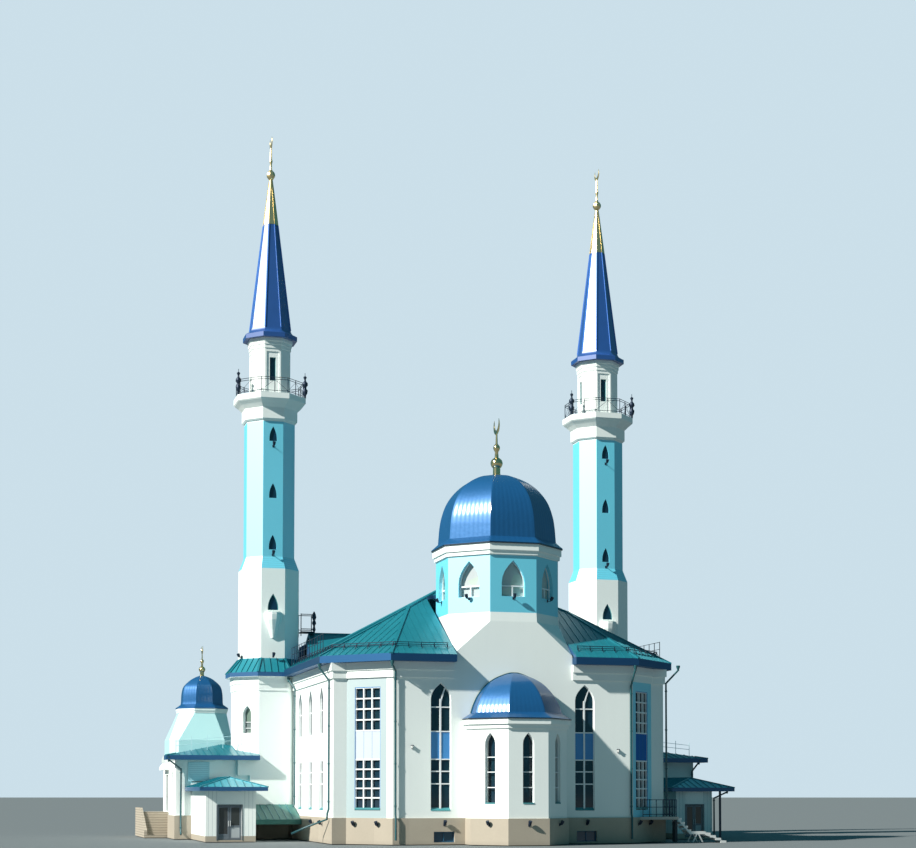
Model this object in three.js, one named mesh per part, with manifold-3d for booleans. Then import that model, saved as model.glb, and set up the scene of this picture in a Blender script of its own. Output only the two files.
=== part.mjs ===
// A mosque with a faceted dome, a prayer niche, two minarets and two side wings, as a model at half size.
//
// Every dimension below is the real building's, in metres. M turns a real metre into model millimetres.
// The origin is on the ground, in the plane of the front wall, on the building's centre line.
// -Y is the front, where the prayer niche stands out, +X is to the right seen from there, +Z is up.

import * as THREE from 'three';
import { mergeVertices } from 'three/addons/utils/BufferGeometryUtils.js';
import { ConvexGeometry } from 'three/addons/geometries/ConvexGeometry.js';
import Module from 'manifold-3d';

const wasm = await Module();
wasm.setup();

// Scale
const MODEL_SCALE = 0.5;
const M = 1000 * MODEL_SCALE;
const GAP = 0.3 / M;

// Prayer hall
const FRONT_HALF = 7.4;
const STRIP_X = 9.7;
const STRIP_Y = STRIP_X - FRONT_HALF;
const HALL_HALF = 10.5;
const HALL_BACK = 16.3;
const WALL = 0.5;
const PLINTH_TOP = 1.55;
const PLINTH_OUT = 0.1;
const LEDGE = 0.1;
const FLOOR_TOP = 1.75;
const UPPER_FLOOR = [5.7, 6.0];
const WALL_TOP = 9.85;
const FRIEZE_MIDDLE = 10.3;
const FRIEZE_OUT = 0.1;
const CORNICE_OUT = 0.18;
const SLAB_UNDER = 10.47;
const SOFFIT = 10.77;
const FASCIA_TOP = 11.2;
const EAVE_OUT = 0.77;
const ROOF_SLOPE = 0.555;
const ROOF_SHELL = 0.25;
const ROOF_BACK = 16.4;

// Dome tower over the middle of the front
const BAY_HALF = 3.71;
const DRUM_Y = 3.55;
const DRUM_R = 3.8;
const DRUM_WALL = 0.4;
const BROACH_BASE = 11.3;
const BROACH_TOP = 13.3;
const DRUM_BOTTOM = 13.86;
const DRUM_TOP = 17.35;
const DRUM_CORNICE_STEP = 17.6;
const DRUM_CORNICE_TOP = 18.0;
const DOME_SHELL = 0.18;

// Prayer niche, a half octagon in front of the wall
const NICHE_R = 3.18;
const NICHE_WALL = 0.4;
const NICHE_TOP = 6.8;
const NICHE_CORNICE_TOP = 7.35;
const NICHE_OPENING_HALF = 2.45;

// Minarets
const MINARET_X = 11.9;
const MINARET_Y = 18.06;
const BASE_R = 2.55;
const BAND_OUT = 0.1;
const SHAFT_BORE = 1.7;
const LOWER_R = 2.1;
const UPPER_R = 1.77;
const UPPER_BORE = 1.4;
const SKIRT_R = 2.97;
const SKIRT_TOP = 12.05;
const LOWER_TOP = 18.1;
const TAPER_TOP = 18.95;
const UPPER_TOP = 28.2;
const BALCONY_FLOOR = 29.95;
const BALCONY_R = 2.52;
const TURRET_R = 1.43;
const TURRET_TOP = 33.9;
const SPIRE_SEAT = 34.6;
const SPIRE_R = 1.44;
const SPIRE_EAVE_R = 1.9;
const SPIRE_TOP = 42.0;
const SPIRE_TOP_R = 0.515;

// Entrance block between the minarets
const ENTRANCE_HALF = 9.5;
const ENTRANCE_BACK = 22.2;
const ENTRANCE_RIDGE_Y = 18.0;

// Side wings
const WING_OUT = 17.9;
const WING_IN = 10.62;
const WING_FRONT = 16.0;
const WING_BACK = 27.8;
const WING_WALL = 0.4;
const WING_TOP = 5.2;
const WING_CEILING = 5.0;
const WING_FASCIA = 5.5;
const WING_EAVE = 0.9;
const BLOCK_OUT = 18.3;
const BLOCK_BACK = 20.1;
const WING_SLOPE = 0.2;
const TOWER_HALF = 2.2;
const TOWER_CHAMFER = 0.6;
const TOWER_R = 1.81;
const TOWER_SHOULDER = 6.75;
const TOWER_NECK = 8.7;
const TOWER_STEP = 8.85;
const TOWER_TOP = 9.0;

// Porches
const PORCH_FRONT = 8.6;
const PORCH_WALL = 0.3;
const PORCH_TOP = 3.15;
const PORCH_FASCIA = 3.4;
const PORCH_SLOPE = 0.3;
const PORCH_EAVE = 0.5;
const DOOR_HEAD = 2.25;
const SILL = 0.1;
const LEAF_THICK = 0.05;
const LEAF_SET_BACK = 0.12;
const LEAF_GAP = 0.02;
const PIVOT_INSET = 0.05;
const PIVOT_R = 0.016;

const PAINT = {
  white: [0xf1f3ec, 0.85, 0.0],
  stone: [0xb9a88c, 0.9, 0.0],
  turquoise: [0x6fb3ad, 0.7, 0.0],
  roof: [0x3f9a98, 0.45, 0.3],
  blue: [0x1f5fb4, 0.3, 0.3],
  navy: [0x15315c, 0.4, 0.3],
  gold: [0xd9b35a, 0.25, 0.9],
  iron: [0x20282c, 0.5, 0.6],
  glass: [0x30424a, 0.15, 0.0],
  concrete: [0xb5b3ac, 0.9, 0.0],
};

// A closed solid from a geometry: positions only, welded, empty triangles dropped, faces outwards.
function toSolid(geometry) {
  const bare = geometry.clone();
  bare.deleteAttribute('normal');
  bare.deleteAttribute('uv');
  const welded = mergeVertices(bare, 1e-3);
  const points = welded.attributes.position;
  const index = [...welded.index.array];
  const corner = (i) => new THREE.Vector3().fromBufferAttribute(points, i);
  const triangles = [];
  let volume = 0;
  for (let i = 0; i < index.length; i += 3) {
    const [a, b, c] = index.slice(i, i + 3);
    if (a !== b && b !== c && a !== c) {
      triangles.push([a, b, c]);
      volume += corner(a).dot(corner(b).cross(corner(c)));
    }
  }
  const outward = volume > 0 ? triangles : triangles.map(([a, b, c]) => [a, c, b]);
  return new wasm.Manifold(new wasm.Mesh({
    numProp: 3,
    vertProperties: new Float32Array(points.array),
    triVerts: new Uint32Array(outward.flat()),
  }));
}

function toGeometry(solid) {
  const mesh = solid.getMesh();
  const geometry = new THREE.BufferGeometry();
  geometry.setAttribute('position', new THREE.BufferAttribute(new Float32Array(mesh.vertProperties), 3));
  geometry.setIndex(new THREE.BufferAttribute(new Uint32Array(mesh.triVerts), 1));
  geometry.computeVertexNormals();
  return geometry;
}

const join = (...solids) => solids.reduce((sum, next) => sum.add(next));
const cut = (solid, ...tools) => tools.reduce((left, tool) => left.subtract(tool), solid);

// A box between two corners.
function box([x0, x1], [y0, y1], [z0, z1]) {
  const shape = new THREE.BoxGeometry((x1 - x0) * M, (y1 - y0) * M, (z1 - z0) * M);
  shape.translate(((x0 + x1) / 2) * M, ((y0 + y1) / 2) * M, ((z0 + z1) / 2) * M);
  return toSolid(shape);
}

// An upright prism over a plan outline.
function prism(outline, [z0, z1]) {
  const shape = new THREE.Shape(outline.map(([x, y]) => new THREE.Vector2(x * M, y * M)));
  const body = new THREE.ExtrudeGeometry(shape, { depth: (z1 - z0) * M, bevelEnabled: false });
  body.translate(0, 0, z0 * M);
  return toSolid(body);
}

// The convex body around points given in metres.
function hull(points) {
  return toSolid(new ConvexGeometry(points.map(([x, y, z]) => new THREE.Vector3(x * M, y * M, z * M))));
}

// An octagon with flat sides to the front, back, left and right.
function octagon(radius, [cx, cy] = [0, 0]) {
  return Array.from({ length: 8 }, (_, k) => {
    const angle = Math.PI / 8 + (k * Math.PI) / 4;
    return [cx + radius * Math.cos(angle), cy + radius * Math.sin(angle)];
  });
}

// A turned body from [radius, height] points, with its first flat side to the right.
function turned(profile, sides, [cx, cy] = [0, 0]) {
  const points = profile.map(([r, z]) => new THREE.Vector2(r * M, z * M));
  const body = new THREE.LatheGeometry(points, sides);
  body.rotateX(Math.PI / 2);
  body.rotateZ(Math.PI / sides);
  body.translate(cx * M, cy * M, 0);
  return toSolid(body);
}

// An octagonal tube.
const octagonTube = (radius, bore, z, centre) => cut(
  prism(octagon(radius, centre), z),
  prism(octagon(bore, centre), [z[0] - 1, z[1] + 1]),
);

// A pointed arch window cut, across a wall that faces -Y, from y0 to y1.
function archCut(x, halfWidth, sill, spring, tip, [y0, y1]) {
  const shape = new THREE.Shape();
  shape.moveTo((x - halfWidth) * M, sill * M);
  shape.lineTo((x + halfWidth) * M, sill * M);
  shape.lineTo((x + halfWidth) * M, spring * M);
  shape.quadraticCurveTo((x + halfWidth) * M, ((spring + tip) / 2) * M, x * M, tip * M);
  shape.quadraticCurveTo((x - halfWidth) * M, ((spring + tip) / 2) * M, (x - halfWidth) * M, spring * M);
  const depth = (y1 - y0) * M;
  const body = new THREE.ExtrudeGeometry(shape, { depth, bevelEnabled: false, curveSegments: 4 });
  body.rotateX(Math.PI / 2);
  body.translate(0, y1 * M, 0);
  return toSolid(body);
}

const turn = (solid, degrees, [cx, cy] = [0, 0]) => solid
  .translate([-cx * M, -cy * M, 0])
  .rotate([0, 0, degrees])
  .translate([cx * M, cy * M, 0]);
const mirrorX = (solid) => solid.mirror([1, 0, 0]);
const mirrored = (outline) => outline.map(([x, y]) => [-x, y]).reverse();

const model = new THREE.Group();
model.name = 'mosque';

function piece(name, solid, paint, parent = model) {
  const [color, roughness, metalness] = PAINT[paint];
  const material = new THREE.MeshStandardMaterial({ color, roughness, metalness });
  const mesh = new THREE.Mesh(toGeometry(solid), material);
  mesh.name = name;
  parent.add(mesh);
  return mesh;
}

// Plan of the hall, moved outwards by a distance, with cut corners at the front.
function hallPlan(out, back) {
  const bevel = out * Math.tan(Math.PI / 8);
  const right = [
    [FRONT_HALF + bevel, -out],
    [STRIP_X + bevel, STRIP_Y - out],
    [HALL_HALF + out, STRIP_Y - out],
    [HALL_HALF + out, back],
  ];
  return [...right, ...mirrored(right)];
}

// Plan of the eaves, whose cut corner runs on to the side walls.
function eavesPlan(out, back) {
  const corner = HALL_HALF + out - FRONT_HALF - out * Math.tan(Math.PI / 8);
  const right = [
    [FRONT_HALF + out * Math.tan(Math.PI / 8), -out],
    [HALL_HALF + out, corner - out],
    [HALL_HALF + out, back],
  ];
  return [...right, ...mirrored(right)];
}

// Plan of the prayer niche, from the front wall outwards.
function nichePlan(out, y = 0) {
  const radius = NICHE_R + out / Math.cos(Math.PI / 8);
  const reach = radius * Math.cos(Math.PI / 8);
  const half = radius * Math.sin(Math.PI / 8);
  return [[-reach, y], [-reach, -half], [-half, -reach], [half, -reach], [reach, -half], [reach, y]];
}

// What the minaret bases and their skirt roofs take out of the hall, wings and roofs.
const minaretCentres = [-MINARET_X, MINARET_X].map((x) => [x, MINARET_Y]);
const MINARET_FRONT = MINARET_Y - BASE_R * Math.cos(Math.PI / 8);
const MINARET_CORNER = MINARET_X + BASE_R * Math.sin(Math.PI / 8);
const minaretPlan = (radius, z) => minaretCentres.map((c) => prism(octagon(radius + GAP, c), z));

// Roof bodies: the outer form, less the same form lowered by the shell's thickness.
function shellOf(outer) {
  return cut(outer, outer.translate([0, 0, -ROOF_SHELL * M]));
}

// The main roof: one slope all round, hips at the corners, a short ridge behind the dome tower.
function mainRoofForm() {
  const eaves = eavesPlan(EAVE_OUT, ROOF_BACK);
  const side = HALL_HALF + EAVE_OUT;
  const cornerCut = side - eaves[0][0];
  const junction = cornerCut * (1 + Math.SQRT1_2);
  const ridgeRun = (ROOF_BACK + EAVE_OUT) / 2;
  const tops = [junction, ridgeRun].map((run) => [side - run, run - EAVE_OUT, FASCIA_TOP + ROOF_SLOPE * run]);
  return hull([
    ...eaves.map(([x, y]) => [x, y, FASCIA_TOP]),
    ...tops,
    ...tops.map(([x, y, z]) => [-x, y, z]),
  ]);
}

// A hip roof over a rectangle whose ridge runs from front to back.
function hipForm([x0, x1], [y0, y1], eave, slope) {
  const run = (x1 - x0) / 2;
  const ridge = eave + slope * run;
  return hull([
    [x0, y0, eave], [x1, y0, eave], [x1, y1, eave], [x0, y1, eave],
    [x0 + run, y0 + run, ridge], [x0 + run, y1 - run, ridge],
  ]);
}

// Prayer hall: plinth, floors and walls
const allHeights = [-1, 20];
const hallOutline = (out) => join(
  prism(hallPlan(out, HALL_BACK), [0, PLINTH_TOP]),
  prism(nichePlan(out, WALL), [0, PLINTH_TOP]),
  box([-ENTRANCE_HALF - out, ENTRANCE_HALF + out], [HALL_BACK - WALL, ENTRANCE_BACK + out], [0, PLINTH_TOP]),
);

function buildPlinth() {
  const entranceInside = ENTRANCE_HALF - WALL - LEDGE;
  const inside = join(
    prism(hallPlan(-WALL - LEDGE, HALL_BACK - 0.4), [-1, 3]),
    prism(nichePlan(-NICHE_WALL - LEDGE, -PLINTH_OUT), [-1, 3]),
    box([-entranceInside, entranceInside], [HALL_BACK - 1, ENTRANCE_BACK - WALL - LEDGE], [-1, 3]),
  );
  const basementWindows = [-4.31, 4.58].map((x) => box([x - 0.64, x + 0.64], [-1, 1], [0.12, 0.75]));
  const minarets = minaretPlan(BASE_R + PLINTH_OUT, allHeights);
  return cut(hallOutline(PLINTH_OUT), inside, ...basementWindows, ...minarets);
}

function floorSlab([z0, z1]) {
  const entranceInside = ENTRANCE_HALF - WALL - GAP;
  const slab = join(
    prism(hallPlan(-WALL - GAP, HALL_BACK), [z0, z1]),
    prism(nichePlan(-NICHE_WALL - GAP, -GAP), [z0, z1]),
    box([GAP - NICHE_OPENING_HALF, NICHE_OPENING_HALF - GAP], [-0.2, WALL + 0.2], [z0, z1]),
    box([-entranceInside, entranceInside], [HALL_BACK - 0.6, ENTRANCE_BACK - WALL - GAP], [z0, z1]),
  );
  return cut(slab, ...minaretPlan(BASE_R, allHeights));
}

const TALL_WINDOW = { x: 4.5, half: 0.62, sill: 2.0, spring: 8.6, tip: 9.57 };
const SIDE_WINDOWS = [6.1, 9.8, 13.45];
const BACK_WINDOWS = [-6.8, -3.4, 0, 3.4, 6.8];
const NICHE_WINDOW = { half: 0.34, sill: 2.4, spring: 5.9, tip: 6.55 };
const DRUM_WINDOW = { half: 0.73, sill: 14.82, spring: 15.65, tip: 17.0 };
const CORNER_WINDOW = { along: 1.78, half: 0.9, sill: 2.0, head: 9.3 };

const windowCut = (w, x, reach, slack = 0) => archCut(
  x, w.half - slack, w.sill + slack, w.spring, w.tip - slack, reach,
);

function buildFrontWall() {
  const wall = box([-FRONT_HALF, FRONT_HALF], [0, WALL], [PLINTH_TOP, WALL_TOP]);
  const opening = [-NICHE_OPENING_HALF, NICHE_OPENING_HALF];
  const nicheOpening = box(opening, [-1, 1], [FLOOR_TOP - 1, NICHE_TOP - 0.4]);
  return cut(
    wall,
    nicheOpening,
    windowCut(TALL_WINDOW, -TALL_WINDOW.x, [-1, 1]),
    windowCut(TALL_WINDOW, TALL_WINDOW.x, [-1, 1]),
  );
}

// A box that stands on the right cut corner: along its face, through it, and up.
function cornerBox([a0, a1], [d0, d1], [z0, z1]) {
  return turn(box([a0, a1], [d0, d1], [z0, z1]), 45).translate([FRONT_HALF * M, 0, 0]);
}

function buildRightWall() {
  const half = WALL * Math.SQRT2;
  const outline = [
    [FRONT_HALF, 0],
    [STRIP_X, STRIP_Y],
    [HALL_HALF, STRIP_Y],
    [HALL_HALF, HALL_BACK],
    [HALL_HALF - WALL, HALL_BACK],
    [HALL_HALF - WALL, STRIP_Y + WALL],
    [STRIP_X + WALL - half, STRIP_Y + WALL],
    [FRONT_HALF, half],
  ];
  const { along, half: halfWidth, sill, head } = CORNER_WINDOW;
  const cornerWindow = cornerBox([along - halfWidth, along + halfWidth], [-1, 1], [sill, head]);
  const sideWindows = SIDE_WINDOWS.map(
    (y) => turn(windowCut(TALL_WINDOW, y, [-HALL_HALF - 1, 1 - HALL_HALF]), 90),
  );
  return cut(
    prism(outline, [PLINTH_TOP, WALL_TOP]),
    cornerWindow,
    ...sideWindows,
    ...minaretPlan(BASE_R, allHeights),
  );
}

function buildCornerWindow() {
  const { along, half, sill, head } = CORNER_WINDOW;
  return cornerBox([along - half + GAP, along + half - GAP], [0.18, 0.26], [sill + GAP, head - GAP]);
}

// The prayer niche: walls with one window each, a stepped cornice, and a faceted half dome.
function buildNicheWall() {
  const reach = NICHE_R * Math.cos(Math.PI / 8);
  const inside = prism(nichePlan(-NICHE_WALL, 1), allHeights);
  const ring = cut(prism(nichePlan(0, -GAP), [PLINTH_TOP, NICHE_TOP]), inside);
  const windows = [-45, 0, 45].map(
    (angle) => turn(windowCut(NICHE_WINDOW, 0, [-reach - 1, -reach + 1]), angle),
  );
  const cornice = join(
    prism(nichePlan(0.1, -GAP), [NICHE_TOP, 7.05]),
    prism(nichePlan(0.22, -GAP), [7.05, NICHE_CORNICE_TOP]),
  );
  return join(cut(ring, ...windows), cut(cornice, inside));
}

const HALF_DOME = [
  [3.46, 7.35], [3.46, 7.43], [3.06, 7.62], [2.88, 7.78], [2.71, 8.24], [2.39, 8.85], [1.85, 9.45],
  [1.31, 9.81], [0.73, 10.05], [0.3, 10.17],
];
const DOME = [
  [4.1, 18.0], [4.1, 18.12], [3.75, 18.45], [3.62, 18.97], [3.58, 19.5], [3.48, 20.1], [3.22, 20.85],
  [2.8, 21.5], [2.15, 22.1], [1.25, 22.55], [0.3, 22.75],
];
const WING_DOME = [
  [1.93, 9.0], [1.93, 9.08], [1.63, 9.27], [1.55, 9.4], [1.53, 9.8], [1.5, 10.2], [1.34, 10.65],
  [0.85, 11.1], [0.4, 11.33], [0.12, 11.4],
];

// A dome's closed profile: the outer line up to the axis, and back down inside by the shell's thickness.
function domeProfile(line, thickness) {
  const top = line[line.length - 1][1];
  const inner = line.slice(2).map(([r, z]) => [Math.max(r - thickness, 0), z - thickness]).reverse();
  const seat = [line[2][0] - thickness * 2, line[0][1]];
  return [seat, ...line, [0, top], [0, top - thickness], ...inner.filter(([r]) => r > 0), seat];
}

function buildNicheDome() {
  const dome = turned(domeProfile(HALF_DOME, 0.12), 8);
  return cut(dome, box([-6, 6], [-GAP, 6], allHeights));
}

// The slab over the hall, whose edge is the cornice and whose well opens into the dome tower.
const BAY_WELL = BAY_HALF - WALL;
const towerY = [0, 2 * DRUM_Y];

function buildCeiling() {
  const slab = join(
    prism(hallPlan(FRIEZE_OUT, HALL_BACK), [WALL_TOP, FRIEZE_MIDDLE]),
    prism(hallPlan(CORNICE_OUT, HALL_BACK), [FRIEZE_MIDDLE, SOFFIT]),
  );
  const room = prism(hallPlan(-WALL, HALL_BACK + 1), [0, SLAB_UNDER]);
  const well = box([-BAY_WELL, BAY_WELL], [WALL, towerY[1] - WALL], allHeights);
  const bayFace = box([-BAY_HALF, BAY_HALF], [-1, 0], allHeights);
  return cut(slab, room, well, bayFace, ...minaretPlan(BASE_R + BAND_OUT, allHeights));
}

function buildRightEaves() {
  const ring = cut(
    prism(eavesPlan(EAVE_OUT, ROOF_BACK), [SOFFIT, FASCIA_TOP]),
    prism(hallPlan(-WALL, ROOF_BACK + 1), allHeights),
  );
  const otherSide = box([-20, BAY_HALF + GAP], [-2, ROOF_BACK + 1], allHeights);
  return cut(ring, otherSide, ...minaretPlan(SKIRT_R, allHeights));
}

function buildMainRoof() {
  const bay = box([-BAY_HALF - GAP, BAY_HALF + GAP], [-2, towerY[1] + GAP], allHeights);
  return cut(shellOf(mainRoofForm()), bay, ...minaretPlan(SKIRT_R, allHeights));
}

function buildBaseTower() {
  const corners = (half, [y0, y1], z) => [[-half, y0, z], [half, y0, z], [half, y1, z], [-half, y1, z]];
  const plan = (apothem) => octagon(apothem / Math.cos(Math.PI / 8), [0, DRUM_Y]);
  const eight = (apothem, z) => plan(apothem).map(([x, y]) => [x, y, z]);
  const drumFlat = DRUM_R * Math.cos(Math.PI / 8);
  const outer = join(
    box([-BAY_HALF, BAY_HALF], towerY, [SOFFIT, BROACH_BASE]),
    hull([...corners(BAY_HALF, towerY, BROACH_BASE), ...eight(DRUM_Y, BROACH_TOP)]),
    hull([...eight(DRUM_Y, BROACH_TOP), ...eight(drumFlat, DRUM_BOTTOM)]),
  );
  const innerY = [WALL, towerY[1] - WALL];
  const bore = drumFlat - DRUM_WALL;
  const inner = join(
    box([-BAY_WELL, BAY_WELL], innerY, [SOFFIT - 1, BROACH_BASE]),
    hull([...corners(BAY_WELL, innerY, BROACH_BASE), ...eight(bore, BROACH_TOP)]),
    hull([...eight(bore, BROACH_TOP), ...eight(bore, DRUM_BOTTOM + 1)]),
  );
  return cut(outer, inner);
}

function buildDrum() {
  const centre = [0, DRUM_Y];
  const front = DRUM_Y - DRUM_R * Math.cos(Math.PI / 8);
  const tube = octagonTube(DRUM_R, DRUM_R - DRUM_WALL, [DRUM_BOTTOM, DRUM_TOP], centre);
  const windows = [0, 45, 90, 135, 180, 225, 270, 315].map(
    (angle) => turn(windowCut(DRUM_WINDOW, 0, [front - 1, front + 1]), angle, centre),
  );
  const bore = DRUM_R - DRUM_WALL;
  return join(
    cut(tube, ...windows),
    octagonTube(DRUM_R + 0.12, bore, [DRUM_TOP, DRUM_CORNICE_STEP], centre),
    octagonTube(DRUM_R + 0.22, bore, [DRUM_CORNICE_STEP, DRUM_CORNICE_TOP], centre),
  );
}

function buildDrumGlass() {
  const bore = DRUM_R - DRUM_WALL;
  return octagonTube(bore - GAP * 1.2, bore - 0.08, [DRUM_BOTTOM + 0.02, DRUM_TOP - 0.02], [0, DRUM_Y]);
}

// A crescent about a point, open upwards, that faces the two sides.
function crescent(radius, [x, y, z]) {
  const thick = 0.22 * radius;
  const disc = (r, rise, depth) => {
    const shape = new THREE.Shape();
    shape.absarc(0, rise * M, r * M, 0, Math.PI * 2, false);
    const options = { depth: depth * M, bevelEnabled: false, curveSegments: 10 };
    return toSolid(new THREE.ExtrudeGeometry(shape, options)).translate([0, 0, (-depth / 2) * M]);
  };
  return cut(disc(radius, 0, thick), disc(0.83 * radius, 0.33 * radius, 3 * thick))
    .rotate([90, 0, 90])
    .translate([x * M, y * M, z * M]);
}

// A finial: a flared foot, balls on a stem, and a crescent that opens upwards.
function finial(foot, scale, centre, sides = 12) {
  const line = [
    [0, 0], [0.34, 0], [0.2, 0.16], [0.09, 0.36], [0.27, 0.5], [0.33, 0.68], [0.27, 0.86], [0.08, 1.02],
    [0.08, 1.3], [0.2, 1.42], [0.25, 1.6], [0.2, 1.78], [0.06, 1.92], [0.05, 2.3], [0, 2.3],
  ].map(([r, z]) => [r * scale, foot + z * scale]);
  return join(turned(line, sides, centre), crescent(0.52 * scale, [...centre, foot + 2.75 * scale]));
}

// Minaret, about its own axis
function minaretBase(side) {
  const body = join(
    prism(octagon(BASE_R), [0, SOFFIT]),
    prism(octagon(BASE_R + PLINTH_OUT), [0, PLINTH_TOP]),
    prism(octagon(BASE_R + BAND_OUT / 2), [WALL_TOP, FRIEZE_MIDDLE]),
    prism(octagon(BASE_R + BAND_OUT), [FRIEZE_MIDDLE, SOFFIT]),
  );
  const window = turn(archCut(0, 0.34, 7.0, 8.3, 8.85, [-4, -1]), 45 * side);
  const collar = LOWER_R + GAP;
  const skirt = turned([
    [collar, SOFFIT], [SKIRT_R, SOFFIT], [SKIRT_R, FASCIA_TOP - 0.13], [collar, SKIRT_TOP], [collar, SOFFIT],
  ], 8);
  return join(cut(body, prism(octagon(SHAFT_BORE), [-1, SOFFIT + 1]), window), skirt);
}

const SLOT_TIPS = [20.4, 23.9, 27.77];
const TURRET_WINDOW = [30.97, 32.57];

function minaretShaft() {
  const outer = turned([
    [0, SOFFIT], [LOWER_R, SOFFIT], [LOWER_R, LOWER_TOP], [UPPER_R, TAPER_TOP], [UPPER_R, UPPER_TOP],
    [0, UPPER_TOP],
  ], 8);
  const inner = turned([
    [0, SOFFIT - 1], [SHAFT_BORE, SOFFIT - 1], [SHAFT_BORE, LOWER_TOP - 0.4], [UPPER_BORE, LOWER_TOP + 0.2],
    [UPPER_BORE, UPPER_TOP + 1], [0, UPPER_TOP + 1],
  ], 8);
  const face = LOWER_R * Math.cos(Math.PI / 8);
  const corbel = turned([
    [0, 13.4], [0.12, 13.4], [0.3, 13.95], [0.55, 14.6], [0.58, 14.75], [0.62, 14.95], [0.62, 15.1],
    [0, 15.1],
  ], 12, [0, -face]);
  const corbels = join(corbel, turn(corbel, 180));
  const slots = SLOT_TIPS.map((tip) => archCut(0, 0.26, tip - 1.0, tip - 0.8, tip, [-5, 5]));
  const lowerWindow = archCut(0, 0.36, 15.25, 15.42, 16.4, [-5, 5]);
  const brackets = cut(corbels, box([-1, 1], [-1, 1], allHeights));
  return cut(join(outer, brackets), inner, lowerWindow, ...slots);
}

// The balcony slab on its flared moulding, and the turret on it.
function minaretGallery() {
  const outer = turned([
    [0, UPPER_TOP], [1.84, UPPER_TOP], [1.94, 28.3], [1.94, 29.05], [2.2, 29.3], [2.45, 29.5],
    [BALCONY_R, 29.58], [BALCONY_R, BALCONY_FLOOR], [TURRET_R, BALCONY_FLOOR], [TURRET_R, 33.18],
    [1.48, 33.2], [1.48, 33.42], [1.53, 33.45], [1.53, 33.65], [1.58, 33.68], [1.58, TURRET_TOP],
    [0, TURRET_TOP],
  ], 8);
  const bore = prism(octagon(TURRET_R - 0.3), [UPPER_TOP - 1, TURRET_TOP + 1]);
  const panel = box([-0.43, 0.43], [-1.6, -1.27], [30.0, 32.97]);
  const panels = [0, 90, 180, 270].map((angle) => turn(panel, angle));
  const windows = [0, 90].map((angle) => turn(box([-0.21, 0.21], [-3, 3], TURRET_WINDOW), angle));
  return cut(outer, bore, ...panels, ...windows);
}

function minaretRailing() {
  const ring = (z0, z1) => cut(prism(octagon(2.4), [z0, z1]), prism(octagon(2.33), [z0 - 1, z1 + 1]));
  const posts = Array.from({ length: 8 }, (_, k) => turn(
    box([2.28, 2.39], [-0.05, 0.05], [BALCONY_FLOOR, 31.12]), 22.5 + 45 * k,
  ));
  return join(ring(30.9, 30.98), ring(30.08, 30.14), ...posts);
}

function minaretSpire() {
  const shell = turned([
    [1.2, TURRET_TOP], [SPIRE_EAVE_R, TURRET_TOP], [SPIRE_EAVE_R, 34.22], [1.56, 34.36],
    [SPIRE_R, SPIRE_SEAT], [SPIRE_TOP_R, SPIRE_TOP], [0, SPIRE_TOP], [0, SPIRE_TOP - 0.4],
    [SPIRE_TOP_R - 0.15, SPIRE_TOP - 0.4],
    [SPIRE_R - 0.2, SPIRE_SEAT], [1.2, TURRET_TOP],
  ], 8);
  const cap = turned([
    [0, SPIRE_TOP], [SPIRE_TOP_R, SPIRE_TOP], [0.1, 45.2], [0.22, 45.3], [0.3, 45.53], [0.22, 45.76],
    [0.07, 45.9], [0.07, 46.35], [0.11, 46.45], [0.11, 46.55], [0.07, 46.65], [0.06, 47.0], [0.05, 47.55],
    [0, 47.55],
  ], 8);
  return join(shell, cap, crescent(0.46, [0, 0, 47.88]));
}

// Entrance block
function buildEntranceWall() {
  const ring = cut(
    box([-ENTRANCE_HALF, ENTRANCE_HALF], [17.0, ENTRANCE_BACK], [PLINTH_TOP, SOFFIT]),
    box([WALL - ENTRANCE_HALF, ENTRANCE_HALF - WALL], [16.0, ENTRANCE_BACK - WALL], allHeights),
  );
  const windows = BACK_WINDOWS.map((x) => windowCut(TALL_WINDOW, x, [ENTRANCE_BACK - 1, ENTRANCE_BACK + 1]));
  return cut(ring, ...windows, ...minaretPlan(BASE_R + BAND_OUT, allHeights));
}

function buildEntranceRoof() {
  const run = ENTRANCE_BACK + 0.75 - ENTRANCE_RIDGE_Y;
  const ridge = FASCIA_TOP + ROOF_SLOPE * run;
  const form = (half, drop) => hull([-half, half].flatMap((x) => [
    [x, ENTRANCE_RIDGE_Y - run, FASCIA_TOP - drop],
    [x, ENTRANCE_RIDGE_Y + run, FASCIA_TOP - drop],
    [x, ENTRANCE_RIDGE_Y, ridge - drop],
  ]));
  const shell = cut(form(ENTRANCE_HALF, 0), form(ENTRANCE_HALF - ROOF_SHELL, ROOF_SHELL));
  const eavesY = [ENTRANCE_BACK - WALL, ENTRANCE_RIDGE_Y + run];
  const eaves = box([-ENTRANCE_HALF, ENTRANCE_HALF], eavesY, [SOFFIT, FASCIA_TOP]);
  const mainRoof = mainRoofForm().translate([0, 0.3, 0.3]);
  const hallEaves = box([-20, 20], [0, 16.45], [9, 11.25]);
  return cut(join(shell, eaves), mainRoof, hallEaves, ...minaretPlan(SKIRT_R, allHeights));
}

// Right side wing: walls with their ceiling, roof, corner tower, and its dome
const WING_WINDOW = { half: 0.35, z: [2.4, 4.4] };
const SIDE_DOOR = { y: [24.6, 26.2], z: [1.7, 4.3] };
const FRONT_WINDOW = box([16.35, 17.25], [15, 17], [3.75, 4.75]);
const wingSideWindow = (y) => box([17, 19], [y - WING_WINDOW.half, y + WING_WINDOW.half], WING_WINDOW.z);
const towerCentre = [WING_OUT - TOWER_HALF, WING_BACK - TOWER_HALF];
const towerCrown = [towerCentre[0] - 0.25, towerCentre[1]];

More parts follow.
